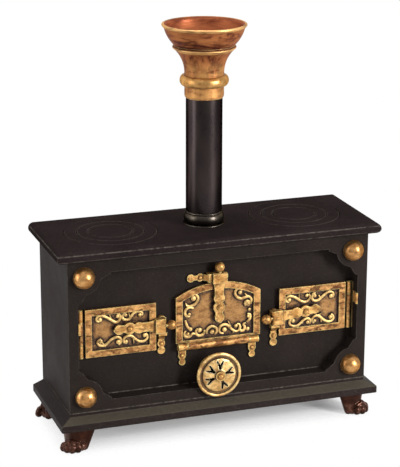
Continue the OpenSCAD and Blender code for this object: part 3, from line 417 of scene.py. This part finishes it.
def leaves(m, slots, grain):
    """Brown leaves round the wheel's slots, and the brown of the groove inside its rim, partly its own
    colour and partly painted shade.
    """
    (centre_x, centre_z), turns = slots
    x = m.minus(m.axis("X"), centre_x * MM)
    z = m.minus(m.axis("Z"), centre_z * MM)
    total = 0.0
    for turn in turns:
        c, s = math.cos(math.radians(turn)), math.sin(math.radians(turn))
        along = m.plus(m.times(x, c), m.times(z, s))
        across = m.size(m.minus(m.times(z, c), m.times(x, s)))
        half = m.minus(m.times(along, LEAF_SPREAD), LEAF_LESS * MM)
        within = m.plus(m.minus(half, across), m.swing(grain, LEAF_RAGGED * MM))
        leaf = m.times(m.span(within, 0.0, LEAF_SOFT * MM), m.fall(along, *[v * MM for v in LEAF_END]))
        total = m.most(leaf, total)
    r = m.math("SQRT", m.plus(m.times(x, x), m.times(z, z)))
    groove = m.times(m.span(r, *[v * MM for v in GROOVE_IN]), m.fall(r, *[v * MM for v in GROOVE_OUT]),
                     m.span(grain, 0.3, 0.55, 0.55, 1.0))
    return m.times(m.most(total, groove), 0.85)


# ---- copper and bronze ------------------------------------------------------------------

def copper(name):
    """Dark copper wash brushed on round the pot, with gold over its rims and its socket.

    The heights are measured from the pot's foot."""
    m = Mat(name)
    z = m.minus(m.axis("Z"), POT_Z * MM)

    def above(start, end):
        return m.span(z, start * MM, end * MM)

    def below(start, end):
        return m.fall(z, start * MM, end * MM)

    turned = m.noise(300, 5, 0.7, (0.22, 0.22, 1.0), 0.5)
    down = m.noise(260, 5, 0.68, (1.0, 1.0, 0.3), 0.5)
    blotch = m.noise(85, 4, 0.6)
    fine = m.noise(1100, 3, 0.6)
    brush = m.mix(above(27, 33), down, turned)
    out = m.fall(m.facing_in(), -0.2, 0.3)
    inside = m.times(m.span(m.facing_in(), 0.1, 0.5), above(22.05, 26.05), 0.9)
    col = m.mix(m.ramp(blotch, (0.36, 0.0), (0.62, 1.0)), lin(104, 52, 38), lin(152, 90, 54))
    col = m.mix(m.ramp(brush, (0.46, 0.0), (0.6, 0.85)), col, lin(184, 118, 70))
    col = m.mix(m.ramp(brush, (0.39, 0.8), (0.48, 0.0)), col, lin(78, 38, 30))
    cloud = m.plus(m.times(blotch, 0.5), m.times(turned, 0.5))
    col = m.mix(m.times(below(15, 27), m.ramp(cloud, (0.42, 0.1), (0.57, 1.0))), col, lin(212, 156, 94))
    bowl = m.mix(m.ramp(brush, (0.36, 0.0), (0.66, 1.0)), lin(136, 72, 50), lin(180, 104, 66))
    col = m.mix(inside, col, bowl)
    lip = m.times(out, above(44.2, 45.1))
    ledge = m.times(above(29.6, 30.2), below(31.9, 32.4), out)
    gilded = m.times(m.most(lip, ledge), m.ramp(turned, (0.36, 0.3), (0.54, 1.0)))
    col = m.mix(gilded, col, lin(222, 172, 108))
    # Painted shade: darker in the pot's own creases, as under the lip and the ledge.
    col = m.mix(m.times(m.fall(m.cavity(3.5, local=True), 0.5, 0.95), 0.85), col, lin(48, 22, 16))
    rub = m.times(m.span(m.edge(1.1), 0.03, 0.25), m.ramp(turned, (0.3, 0.5), (0.6, 1.0)))
    m.set(color=m.mix(rub, col, lin(255, 222, 162)), rough=m.span(brush, 0.3, 0.7, 0.34, 0.5),
          metal=0.6, spec=0.3, tint=(0.4, 0.28, 0.2, 1.0))
    m.bump(brush, 0.3, 0.7)
    m.bump(fine, 0.1, 0.2)
    return m.m


def paw_paint(name):
    """Dark copper-brown paint, glossy, with its toes rubbed pinkish, which is partly a painted
    highlight, and a painted shade in its creases and where it meets other parts.
    """
    m = Mat(name)
    wash = m.noise(240, 4, 0.65)
    fine = m.noise(1200, 3, 0.6)
    col = m.mix(m.ramp(wash, (0.34, 0.0), (0.66, 1.0)), lin(42, 21, 14), lin(60, 32, 21))
    # Pinkish toes: rubbed wear on the toes' tops, which also serves as a painted highlight.
    rub = m.times(m.span(m.cavity(3.5, local=True), 0.88, 1.0), m.ramp(wash, (0.44, 0.0), (0.64, 0.25)),
                  m.fall(m.axis("Z"), 6 * MM, 9 * MM))
    col = m.mix(rub, col, lin(176, 128, 112))
    # Painted shade: darker in creases and where the paw meets other parts.
    col = m.mix(m.fall(m.cavity(2.2), 0.4, 0.9), col, lin(22, 12, 10))
    m.set(color=col, rough=m.span(wash, 0.3, 0.7, 0.2, 0.28), metal=0.45, spec=0.4,
          tint=(0.7, 0.5, 0.42, 1.0))
    m.bump(wash, 0.1, 0.4)
    m.bump(fine, 0.12, 0.2)
    return m.m


# ---- the stove's materials --------------------------------------------------------------

BRONZE_TINT = (0.5, 0.38, 0.28, 1.0)
WHEEL_CENTRE = (-2.5, 41.3)
SLOT_TURNS = (16, 87, 145, 203, 293)

BLACK = black_paint("black_paint", (33, 27, 25), (112, 104, 96))
FRAME = black_paint("frame_paint", (33, 28, 26), (118, 110, 102), rub_at=(0.02, 0.14), rub_most=0.75,
                    lines=[(CASING_Z + 0.3, 0.4, 0.35)], lit_from_floor=(CASING_Z + 1.2, CASING_Z + 34.2))
PANEL = black_paint("panel_paint", (33, 28, 26), (118, 110, 102), lines=[(CASING_Z + 7.4, 0.5, 0.7)])
TOP = black_paint("top_paint", (33, 27, 27), (118, 112, 104), rough=(0.6, 0.7), spec=0.0,
                  lines=[(HOB_Z - 1.85, 0.45, 0.5), (HOB_Z - 5.75, 0.6, 0.35)])
BASE = black_paint("base_paint", (34, 28, 27), (150, 142, 128), rough=(0.4, 0.52), spec=0.03,
                   bevel_highlight=(74, 69, 60))
HOB = black_paint("hob_iron", (33, 27, 27), (116, 108, 100), rough=(0.6, 0.7), spec=0.0,
                  rub_at=(0.01, 0.1), rub_most=0.7)
IRON = black_paint("hidden_iron", (30, 27, 26), (70, 66, 62), rough=(0.5, 0.65), spec=0.2)
PIPE = pipe_paint("pipe_paint", (64, 56, 58), (80, 70, 68), rough=(0.25, 0.32))
COLLAR = pipe_paint("collar_paint", (72, 66, 62), (98, 90, 78), rough=(0.3, 0.36))
GOLD = gold("antique_gold", (240, 188, 114), (192, 138, 74), (42, 24, 15), reach=1.8,
            rough=(0.32, 0.46), patches=0.75)
DOOR = gold("door_gold", (222, 168, 102), (164, 112, 62), (36, 22, 22),
            field=(FIELD_Y - 1.0, FIELD_Y - 0.3))
SCROLL = gold("scroll_gold", (222, 172, 106), (150, 104, 58), (40, 24, 20), reach=1.0,
              ridge=(FIELD_Y - 0.55, FIELD_Y - 1.05))
DOME = gold("dome_bronze", (226, 172, 110), (194, 138, 80), (60, 34, 22), reach=1.6,
            rough=(0.28, 0.38), patina=0.8, shade=0.5, metal=0.9, tint=BRONZE_TINT, patches=0.5,
            relief=0.4)
BAND = gold("band_gold", (230, 178, 110), (200, 146, 84), (60, 34, 22), reach=1.6,
            rough=(0.3, 0.42), patina=0.8, metal=0.8, tint=BRONZE_TINT, patches=0.4)
WHEEL = gold("wheel_gold", (255, 218, 148), (220, 170, 102), (58, 34, 18), reach=2.2,
             rough=(0.28, 0.4), patina=1.0, metal=0.6, patches=0.6, relief=1.3,
             slots=(WHEEL_CENTRE, SLOT_TURNS))
COPPER = copper("copper_pot")
PAW = paw_paint("paw_bronze")

LOOK = {
    BLACK: ["side_panel_left", "side_panel_right", "back_panel"],
    FRAME: ["front_frame"],
    PANEL: ["front_panel"],
    TOP: ["top_plate"],
    BASE: ["base_plinth"],
    HOB: ["hob_ring_left", "hob_ring_right", "hob_lid_left", "hob_lid_right"],
    IRON: ["partition_left", "partition_right", "fire_grate", "dome_nuts"],
    PIPE: ["flue_pipe"],
    COLLAR: ["flue_collar"],
    GOLD: ["hinge_left", "hinge_right", "hinge_pin_left", "hinge_pin_right",
           "arch_hinge_left", "arch_hinge_right", "arch_hinge_pins", "arch_hinge_rivets",
           "latch_left", "latch_right", "latch_centre",
           "latch_ball_left", "latch_ball_right", "latch_ball_centre",
           "latch_rivet_left", "latch_rivet_right", "latch_rivet_centre",
           "keeper_left", "keeper_right", "keeper_centre", "keeper_rivets", "draft_port"],
    DOOR: ["door_left", "door_right", "door_centre"],
    SCROLL: ["scrollwork_left", "scrollwork_right", "scrollwork_centre"],
    DOME: ["dome_bolts"],
    BAND: ["chimney_band", "wheel_pin"],
    WHEEL: ["draft_wheel"],
    COPPER: ["chimney_pot"],
    PAW: ["foot_front_left", "foot_front_right", "foot_back_left", "foot_back_right"],
}
MATERIAL_OF = {node: material for material, names in LOOK.items() for node in names}


def dress(obj, material):
    obj.data.materials.clear()
    obj.data.materials.append(material)


for node, material in MATERIAL_OF.items():
    dress(nodes[node], material)


# ---- mesh helpers -----------------------------------------------------------------------

def bent(edge, degrees):
    """True where two faces meet at more than this angle."""
    return len(edge.link_faces) == 2 and edge.calc_face_angle(0.0) > math.radians(degrees)


def smooth(bm, crease=50):
    """Smooth shading, with the edges over the crease angle left sharp."""
    bmesh.ops.recalc_face_normals(bm, faces=bm.faces)
    for f in bm.faces:
        f.smooth = True
    for e in bm.edges:
        e.smooth = not bent(e, crease)


def ease_edges(bm, edges, width, segments):
    bmesh.ops.bevel(bm, geom=edges, offset=width * MM, segments=segments, profile=0.5,
                    affect="EDGES", clamp_overlap=True)


def keep_flats_flat(obj):
    """Weighted normals, so that the eased edges don't bend the light on the flats."""
    obj.modifiers.new("weighted", "WEIGHTED_NORMAL").keep_sharp = True


def stand_in(name, mesh, node):
    """Shows this mesh in the place of a CAD node, with its material and on its body."""
    obj = link(bpy.data.objects.new(name, mesh))
    dress(obj, MATERIAL_OF[node])
    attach(obj, BODY_OF[node])
    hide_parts(node)
    return obj


def finish_piece(name, bm, node, crease=50):
    """Turns a bmesh that was made here into the piece that stands for a CAD node."""
    smooth(bm, crease)
    mesh = bpy.data.meshes.new(name)
    bm.to_mesh(mesh)
    bm.free()
    return stand_in(name, mesh, node)


def join_rings(bm, a, b):
    """A strip of faces between two closed rings of as many points."""
    for k in range(len(a)):
        after = (k + 1) % len(a)
        bm.faces.new((a[k], a[after], b[after], b[k]))


def add_ball(bm, x, y, z, r, deep=1.0, tall=1.0, around=24, rows=16):
    """A ball, squashed in y and z by deep and tall, that doesn't go below the floor."""
    at = spot(x, y, z)
    for v in bmesh.ops.create_uvsphere(bm, u_segments=around, v_segments=rows, radius=r * MM)["verts"]:
        v.co = Vector((v.co.x + at.x, v.co.y * deep + at.y, max(v.co.z * tall + at.z, 0.0)))


# ---- CAD nodes with eased edges ---------------------------------------------------------

SAME_POINT = 2e-6  # m
SAME_PLANE = 0.3  # the angle under which two faces count as one
EASED_FROM = 25.0  # the angle from which an edge is eased
PLATE_EASE, PANEL_EASE, DOOR_EASE, FITTING_EASE = 0.35, 0.3, 0.35, 0.3


def soft_copy(node, width):
    """A copy of a CAD node with its sharp edges eased, which stands for that node."""
    mesh = nodes[node].data.copy()
    bm = bmesh.new()
    bm.from_mesh(mesh)
    bmesh.ops.remove_doubles(bm, verts=bm.verts, dist=SAME_POINT)
    bmesh.ops.dissolve_limit(bm, angle_limit=math.radians(SAME_PLANE), verts=bm.verts, edges=bm.edges)
    ease_edges(bm, [e for e in bm.edges if bent(e, EASED_FROM)], width, segments=2)
    smooth(bm)
    bm.to_mesh(mesh)
    bm.free()
    keep_flats_flat(stand_in(node + "_piece", mesh, node))


for node in ["top_plate", "front_frame"]:
    soft_copy(node, PLATE_EASE)
for node in ["side_panel_left", "side_panel_right"]:
    soft_copy(node, PANEL_EASE)
for node in ["door_left", "door_right", "door_centre"]:
    soft_copy(node, DOOR_EASE)
for node in ["latch_left", "latch_right", "latch_centre", "keeper_left", "keeper_right",
             "keeper_centre", "draft_wheel"]:
    soft_copy(node, FITTING_EASE)


# ---- plinth -----------------------------------------------------------------------------

PLINTH_FOOT = 16.1  # its lower edge, which the photograph shows 1.5 mm under the CAD's
BEVEL_Z = (20.8, 23.7)
PLINTH_EASE = 0.45
NECK_CLEAR = 0.3  # the edges this close under the casing stay sharp


def plinth():
    """The stepped slab under the casing, with its upright face, its bevel and a low neck."""
    bm = bmesh.new()
    rings = []
    for out, front, z in [(PLINTH_X, PLINTH_FRONT, PLINTH_FOOT), (PLINTH_X, PLINTH_FRONT, BEVEL_Z[0]),
                          (CASING_X, CASING_FRONT, BEVEL_Z[1]), (CASING_X, CASING_FRONT, CASING_Z)]:
        outline = [(-out, front), (out, front), (out, CASING_BACK), (-out, CASING_BACK)]
        rings.append([bm.verts.new(spot(x, y, z)) for x, y in outline])
    for a, b in zip(rings, rings[1:]):
        join_rings(bm, a, b)
    bm.faces.new(rings[0][::-1])
    bm.faces.new(rings[-1])
    bmesh.ops.recalc_face_normals(bm, faces=bm.faces)
    top = (CASING_Z - NECK_CLEAR) * MM
    seen = [e for e in bm.edges if bent(e, 10) and min(v.co.z for v in e.verts) < top]
    ease_edges(bm, seen, PLINTH_EASE, segments=3)
    keep_flats_flat(finish_piece("base_plinth_piece", bm, "base_plinth"))


# ---- flue collar ------------------------------------------------------------------------

COLLAR_BORE = PIPE_R + 0.02
BULGE_R, BULGE_OUT = 11.95, 1.05  # radius at its foot, and how far it swells
BULGE_Z, BULGE_TALL = 0.95, 6.1
BULGE_STEPS = 12


def lathe(name, outline, node, turns=120):
    """A ring turned round the pipe's axis from a closed outline of (radius, height)."""
    bm = bmesh.new()
    angles = [2 * math.pi * k / turns for k in range(turns)]
    rings = [[bm.verts.new(spot(r * math.cos(a), r * math.sin(a), z)) for a in angles]
             for r, z in outline]
    for a, b in zip(rings, rings[1:] + rings[:1]):
        join_rings(bm, a, b)
    finish_piece(name, bm, node, crease=40)


def collar():
    """The collar on the top plate: a thin flange, a round bulge and a ring round the pipe."""
    flange = [(COLLAR_BORE, 0), (13.35, 0), (13.45, 0.15), (13.4, 0.4), (13.1, 0.65), (12.3, 0.8)]
    bulge = []
    for k in range(BULGE_STEPS + 1):
        t = k / BULGE_STEPS
        bulge.append((BULGE_R + BULGE_OUT * math.sin(math.pi * t) ** 0.6, BULGE_Z + BULGE_TALL * t))
    ring = [(12.05, 7.25), (12.2, 7.45), (12.27, 7.75), (12.2, 8.05), (11.95, 8.3), (COLLAR_BORE, 8.4)]
    lathe("flue_collar_piece", [(r, HOB_Z + z) for r, z in flange + bulge + ring], "flue_collar")


plinth()
collar()


# ---- feet -------------------------------------------------------------------------------

# How far a foot's toe line lies inside the plinth's edge, at its side and at its end.
FRONT_FOOT_IN = (5.2, 5.2)
BACK_FOOT_IN = (3.8, 0.9)
# Each rounding as (place in from the side, place in from the end, height, radius, tallness).
TOES = [(-1.5, 5.2, 3.1, 2.5, 1.15), (-0.3, 2.2, 3.0, 2.4, 1.15), (2.5, 0.2, 3.0, 2.45, 1.15),
        (6.2, 0.2, 3.2, 2.6, 1.15)]
KNUCKLES = [(-0.2, 4.6, 5.2, 1.7, 1.0), (1.2, 2.4, 5.3, 1.7, 1.0), (3.6, 1.3, 5.3, 1.8, 1.0),
            (6.6, 1.2, 5.4, 1.9, 1.0)]
PADS = [(3.2, 3.2, 3.6, 3.9, 1.0), (8.8, 2.6, 2.6, 3.0, 0.95), (2.4, 8.4, 2.6, 3.0, 0.95)]
MELT = 0.38  # size of the grid that the foot is melted on
EASE_PASSES = 5


def soft_foot(end, side):
    """The CAD foot with fuller toes and knuckles, melted into one soft casting."""
    node = f"foot_{end}_{side}"
    bm = bmesh.new()
    bm.from_mesh(nodes[node].data)
    right = 1 if side == "right" else -1
    in_x, in_y = BACK_FOOT_IN if end == "back" else FRONT_FOOT_IN
    for u, v, z, r, tall in TOES + KNUCKLES + PADS:
        y = CASING_BACK - in_y - v if end == "back" else PLINTH_FRONT + in_y + v
        add_ball(bm, right * (PLINTH_X - in_x - u), y, z, r, tall=tall)
    mesh = bpy.data.meshes.new(node + "_soft")
    bm.to_mesh(mesh)
    bm.free()
    rough = link(bpy.data.objects.new(node + "_rough", mesh))
    melt = rough.modifiers.new("melt", "REMESH")
    melt.mode = "VOXEL"
    melt.voxel_size = MELT * MM
    ease = rough.modifiers.new("ease", "SMOOTH")
    ease.factor = 0.5
    ease.iterations = EASE_PASSES
    bpy.context.view_layer.update()
    soft = bpy.data.meshes.new_from_object(rough.evaluated_get(bpy.context.evaluated_depsgraph_get()))
    bpy.data.objects.remove(rough)
    for f in soft.polygons:
        f.use_smooth = True
    stand_in(node + "_piece", soft, node)


for end in ("front", "back"):
    for side in ("left", "right"):
        soft_foot(end, side)


# ---- scrollwork -------------------------------------------------------------------------

STROKE = {"thick": 1.05, "tips": (0.72, 0.72), "proud": 0.92}
SPUR = {"thick": 0.62, "tips": (0.3, 0.62), "proud": 0.8}
LINE_OUT, BEAD_OUT = 0.45, 0.35  # how far the middles of lines and beads stand off the field
BEAD_FULL, BEAD_FLAT = 1.06, 0.8
LINE_SIDES = 10


def spline(points, per=5):
    """Catmull-Rom curve through the points, as a list of (x, z)."""
    p = [points[0]] + list(points) + [points[-1]]
    out = []
    for i in range(1, len(p) - 2):
        for k in range(per):
            t = k / per
            out.append(tuple(
                0.5 * (2 * p[i][a] + (p[i + 1][a] - p[i - 1][a]) * t
                       + (2 * p[i - 1][a] - 5 * p[i][a] + 4 * p[i + 1][a] - p[i + 2][a]) * t * t
                       + (3 * p[i][a] - p[i - 1][a] - 3 * p[i + 1][a] + p[i + 2][a]) * t ** 3)
                for a in (0, 1)))
    return out + [tuple(points[-1])]


def relief_line(bm, points, thick, tips, proud):
    """A rounded line in the door's plane, thick in the middle and thinner at its tips.

    thick and tips are its radii, and a tip swells to thick over a third of the line. proud is
    how far the line stands out for its width."""
    path = spline(points)
    last = len(path) - 1
    angles = [2 * math.pi * k / LINE_SIDES for k in range(LINE_SIDES)]
    rings = []
    for i, (x, z) in enumerate(path):
        ax, az = path[max(i - 1, 0)]
        bx, bz = path[min(i + 1, last)]
        length = math.hypot(bx - ax, bz - az) or 1.0
        nx, nz = -(bz - az) / length, (bx - ax) / length
        t = i / last
        tip, along = (tips[0], t) if t < 0.5 else (tips[1], 1 - t)
        r = tip + (thick - tip) * min(1.0, along * 3.0)
        rings.append([bm.verts.new(spot(x + nx * r * math.cos(a),
                                        FIELD_Y - LINE_OUT - r * proud * math.sin(a),
                                        z + nz * r * math.cos(a))) for a in angles])
    for a, b in zip(rings, rings[1:]):
        join_rings(bm, a, b)
    bm.faces.new(rings[0][::-1])
    bm.faces.new(rings[-1])


def scrolls(side, strokes, spurs, beads):
    """The scroll-work of one door. strokes and spurs are lists of (x, z) points along each line,
    and beads are (x, z, radius)."""
    bm = bmesh.new()
    for points in strokes:
        relief_line(bm, points, **STROKE)
    for points in spurs:
        relief_line(bm, points, **SPUR)
    for x, z, r in beads:
        add_ball(bm, x, FIELD_Y - BEAD_OUT, z, r * BEAD_FULL, deep=BEAD_FLAT, around=14, rows=9)
    finish_piece("scroll_" + side, bm, "scrollwork_" + side)


scrolls("left", strokes=[
    [(-78.6, 82.4), (-80.1, 83.4), (-80, 85.3), (-78.4, 86.4), (-76, 86.2), (-73.5, 84.8), (-71, 83),
     (-68.4, 81.3), (-66.4, 81.3), (-65, 82.8), (-64.8, 84.8), (-65.7, 86.2), (-66.8, 86)],
    [(-60.9, 84.9), (-61.6, 86.5), (-62.9, 86), (-63.4, 84.2), (-62.6, 82.4), (-60.8, 81.8),
     (-59, 82.2), (-57.6, 83.8), (-56.2, 85.6), (-54.2, 86.5), (-52, 86.4), (-50.3, 85.2),
     (-50.3, 83.6)],
    [(-77.4, 70.9), (-79, 70.4), (-79.7, 68.7), (-78.6, 67.1), (-76.4, 66.5), (-74.4, 66.9),
     (-72.4, 68.5), (-70.2, 70.2), (-67.8, 71.1), (-65.6, 70.7), (-64.4, 69), (-64.6, 67.1),
     (-66, 66)],
    [(-60.7, 66.2), (-62.3, 66.8), (-62.8, 68.6), (-61.9, 70.3), (-59.8, 71.1), (-57.6, 70.7),
     (-55.7, 69.2), (-53.8, 67.3), (-51.6, 66.4), (-49.2, 66.5), (-47.4, 67.9), (-47.1, 69.9),
     (-48.2, 71.5)],
], spurs=[
    [(-71.9, 87.2), (-71.4, 85.6), (-70.6, 83.1)],
    [(-59.3, 86.6), (-58.9, 85), (-58.3, 83.2)],
    [(-74.2, 65.2), (-75.2, 66.4), (-76.9, 69)],
    [(-56.2, 65), (-56.1, 66.8), (-56.6, 69.4)],
], beads=[
    (-77.9, 83.7, 1.5), (-66.6, 84.8, 1.25), (-61.3, 85.2, 1.2), (-51.9, 84, 1.35),
    (-77.7, 69.4, 1.55), (-66.3, 67.8, 1.5), (-61.2, 67.4, 1.3), (-48.9, 70.3, 1.5),
])

scrolls("right", strokes=[
    [(48.5, 81.2), (46.8, 82), (46.4, 83.8), (47.6, 85.2), (49.8, 85.3), (52.2, 84.5), (54.4, 83),
     (56.4, 81.4), (58.8, 80.4), (61, 80.7), (62.7, 82), (63.1, 84), (62.2, 85.5)],
    [(66.9, 85.5), (65.3, 85.4), (64.5, 83.6), (64.8, 81.6), (66.2, 80.4), (68.3, 80.4),
     (70.4, 81.5), (72.5, 83.3), (74.6, 84.9), (76.8, 85.5), (78.9, 84.8), (79.8, 83.1), (79, 81.4)],
    [(51.8, 70), (50, 69.7), (49.1, 67.9), (49.4, 66), (51, 64.8), (53.2, 64.5), (55.2, 65),
     (57, 66.4), (58.8, 68), (61, 68.9), (62.9, 68.4), (63.8, 66.8), (63.2, 65.1)],
    [(66, 65.2), (65, 66.6), (65.3, 68.6), (66.8, 69.9), (68.8, 69.9), (70.6, 68.8), (72.4, 67.1),
     (74.4, 65.7), (76.6, 65), (78.8, 65.5), (80, 67), (79.6, 69), (78.1, 69.9)],
], spurs=[
    [(55.7, 86.2), (55.5, 84.6), (55.8, 82)],
    [(69.3, 84.2), (69.7, 83), (70.8, 81.9)],
    [(71.8, 71.5), (70.2, 70.6), (68.2, 70)],
    [(71.4, 64.6), (71.3, 66.2), (71.2, 68.4)],
    [(58.6, 65.2), (58.2, 66.2), (57.4, 66.9)],
], beads=[
    (48.7, 82.6, 1.5), (61, 84.5, 1.3), (66.4, 83.9, 1.3), (77.9, 82.4, 1.45),
    (51.6, 68.3, 1.5), (61.8, 66.1, 1.3), (66.6, 66.6, 1.35), (77.8, 68.1, 1.5),
])

scrolls("centre", strokes=[
    [(-15.6, 93.9), (-14.2, 92.8), (-13.4, 91), (-13.9, 89), (-15.4, 87.3), (-17.6, 86.4),
     (-19.8, 86.2), (-21.6, 87.2)],
    [(-16.6, 84.4), (-18.8, 85.2), (-21, 84.6), (-22.2, 82.8), (-22, 80.8), (-20.6, 79.4),
     (-18.9, 79.3)],
    [(-21.9, 77), (-21.5, 75), (-20.7, 73), (-19.6, 71.4), (-18, 71.2)],
    [(-21.6, 69.8), (-22.6, 68.4), (-22.2, 66.4), (-20.4, 65.6), (-18.4, 66.2), (-17, 67.6),
     (-15.4, 66.8)],
    [(-13.8, 70.6), (-14.9, 69), (-14.5, 66.9), (-12.8, 65.7), (-10.7, 65.9), (-9.2, 67.3), (-9, 69)],
    [(-7.6, 66.4), (-7.4, 68.6), (-6.2, 70.3), (-4.2, 71), (-2.2, 70.4), (-0.9, 68.8), (-0.9, 66.8),
     (-2.2, 65.4)],
    [(3.6, 65.3), (1.8, 65.8), (0.8, 67.5), (1.2, 69.6), (2.8, 71), (4.9, 71.2), (6.9, 70.2),
     (8.6, 68.3), (10.4, 66.6), (12.6, 65.7), (14.4, 66.4)],
    [(12.8, 70.8), (14.6, 70), (15, 68.2), (14.9, 66.6), (16.2, 65.6), (17.8, 66.4), (18.2, 68.2),
     (17.2, 70), (18.8, 70.8)],
    [(20, 76.8), (21.7, 76), (21.9, 74), (20.9, 72.2), (19.6, 71.2)],
    [(18.8, 82.4), (18.3, 84.2), (19.6, 85.4), (21.6, 84.6)],
    [(22.2, 83.4), (22.7, 85.4), (22, 87.4), (20.2, 88.5), (17.8, 88), (15.6, 87.5), (13.4, 88.4),
     (11.8, 90.2), (11.5, 92.4), (12.6, 94), (14.6, 94.3), (16.3, 93.2)],
], spurs=[
    [(-22, 88.8), (-21.4, 87.6), (-20.2, 86.4)],
    [(6.6, 73.8), (7.4, 72.2), (8.6, 69.6)],
    [(18, 90.9), (18.8, 89.9), (20.4, 88.4)],
    [(9.8, 64.6), (10.6, 65.4), (12, 66)],
    [(17.9, 64.8), (17.6, 65.8), (17.3, 67)],
], beads=[
    (-16.5, 91, 1.8), (-19.3, 80.6, 1.2), (-18.5, 70.6, 1.35), (-20.3, 67.6, 1.3), (-12.5, 69.4, 1.6),
    (-3.9, 67.2, 1.6), (4.4, 67.7, 1.6), (12.1, 69.4, 1.4), (20.3, 66.6, 1.35), (20.6, 75, 1.1),
    (21.3, 79.5, 1.15), (20.4, 83.4, 1.6), (14.9, 91.7, 1.4),
])


# ---- studio: lengths are in metres from here on -----------------------------------------

FLOOR_SIZE = 0.7
FLOOR_DROP = 0.00005
FLOOR_COLOUR = (0.93, 0.93, 0.935, 1.0)
FLOOR_GLOW = 0.2
FLOOR_IN_GLOSS = 0.4  # how much of the fade beside the stove its glossy parts see too
FAR_FADE = (0.3, 0.62)  # distances from the stove's middle
NEAR_FADE = (-0.03, 0.006)  # distances out from the plinth's edge
ROOM_COLOUR = (1.0, 0.985, 0.965, 1.0)
ROOM_LIGHT = (0.22, 0.62)  # below and above
LAMP_AIM = Vector((0, 0, 0.1))
LAMPS = [  # name, azimuth, elevation, distance, width, height, power in watts
    ("key_left", -86, 12, 1.1, 0.4, 0.9, 3.7),
    ("key_right", 37, 16, 1.2, 0.26, 0.6, 14.5),
    ("overhead", 180, 78, 1.15, 0.6, 0.6, 7.5),
]


def floor_material():
    """White floor that takes the stove's shadow and light. To the camera, and partly to
    reflections, it fades into the white world just beside the stove, where the shadow ends."""
    m = Mat("floor")
    m.set(color=FLOOR_COLOUR, rough=0.9, spec=0.05)
    path = m.node("LightPath").outputs
    glow = m.node("Emission", {"Strength": m.times(path["Is Camera Ray"], FLOOR_GLOW)})
    solid = m.node("AddShader", {0: m.bsdf.outputs[0], 1: glow.outputs[0]})
    clear = m.node("BsdfTransparent")
    far = m.span(m.vector("LENGTH", m.tc), *FAR_FADE)
    off_x = m.minus(m.size(m.axis("X")), PLINTH_X * MM)
    off_y = m.minus(m.size(m.axis("Y")), (CASING_BACK - PLINTH_FRONT) / 2 * MM)
    beside = m.span(m.most(off_x, off_y), *NEAR_FADE)
    seen = m.most(path["Is Camera Ray"], m.times(path["Is Glossy Ray"], FLOOR_IN_GLOSS))
    blend = m.node("MixShader", {0: m.most(far, m.times(seen, beside)), 1: solid.outputs[0],
                                 2: clear.outputs[0]})
    m.put(m.out.inputs[0], blend.outputs[0])
    return m.m


def add_floor():
    mesh = bpy.data.meshes.new("floor")
    s = FLOOR_SIZE
    mesh.from_pydata([(-s, -s, 0), (s, -s, 0), (s, s, 0), (-s, s, 0)], [], [(0, 1, 2, 3)])
    floor = link(bpy.data.objects.new("floor", mesh))
    floor.location.z = -FLOOR_DROP
    dress(floor, floor_material())


def add_world():
    """White to the camera and, behind the stove, in its reflections. What lights the stove is a
    dimmer room, brighter above than below."""
    world = bpy.data.worlds.new("world")
    bpy.context.scene.world = world
    world.use_nodes = True
    w = Shader(world.node_tree)
    path = w.node("LightPath").outputs
    way = w.node("TexCoord").outputs["Generated"]
    mirrored = w.most(path["Is Glossy Ray"], path["Is Transmission Ray"])
    behind = w.span(w.part(way, "Y"), -0.1, 0.5)
    known = w.most(path["Is Camera Ray"], w.times(mirrored, behind))
    light = w.span(w.part(way, "Z"), -0.2, 0.8, *ROOM_LIGHT)
    room = w.node("Background", {"Color": ROOM_COLOUR, "Strength": light})
    white = w.node("Background", {"Color": WHITE, "Strength": 1.0})
    pick = w.node("MixShader", {0: known, 1: room.outputs[0], 2: white.outputs[0]})
    w.node("OutputWorld", {0: pick.outputs[0]})


def add_lamp(name, azimuth, elevation, distance, width, height, power):
    """A soft rectangular lamp that stands in this direction and shines on the stove."""
    data = bpy.data.lights.new(name, "AREA")
    data.shape = "RECTANGLE"
    data.size = width
    data.size_y = height
    data.energy = power
    lamp = link(bpy.data.objects.new(name, data))
    out = toward(azimuth, elevation)
    lamp.location = LAMP_AIM + out * distance
    lamp.rotation_euler = (-out).to_track_quat("-Z", "Y").to_euler()


add_floor()
add_world()
for lamp in LAMPS:
    add_lamp(*lamp)

bpy.context.scene.view_settings.view_transform = "Standard"
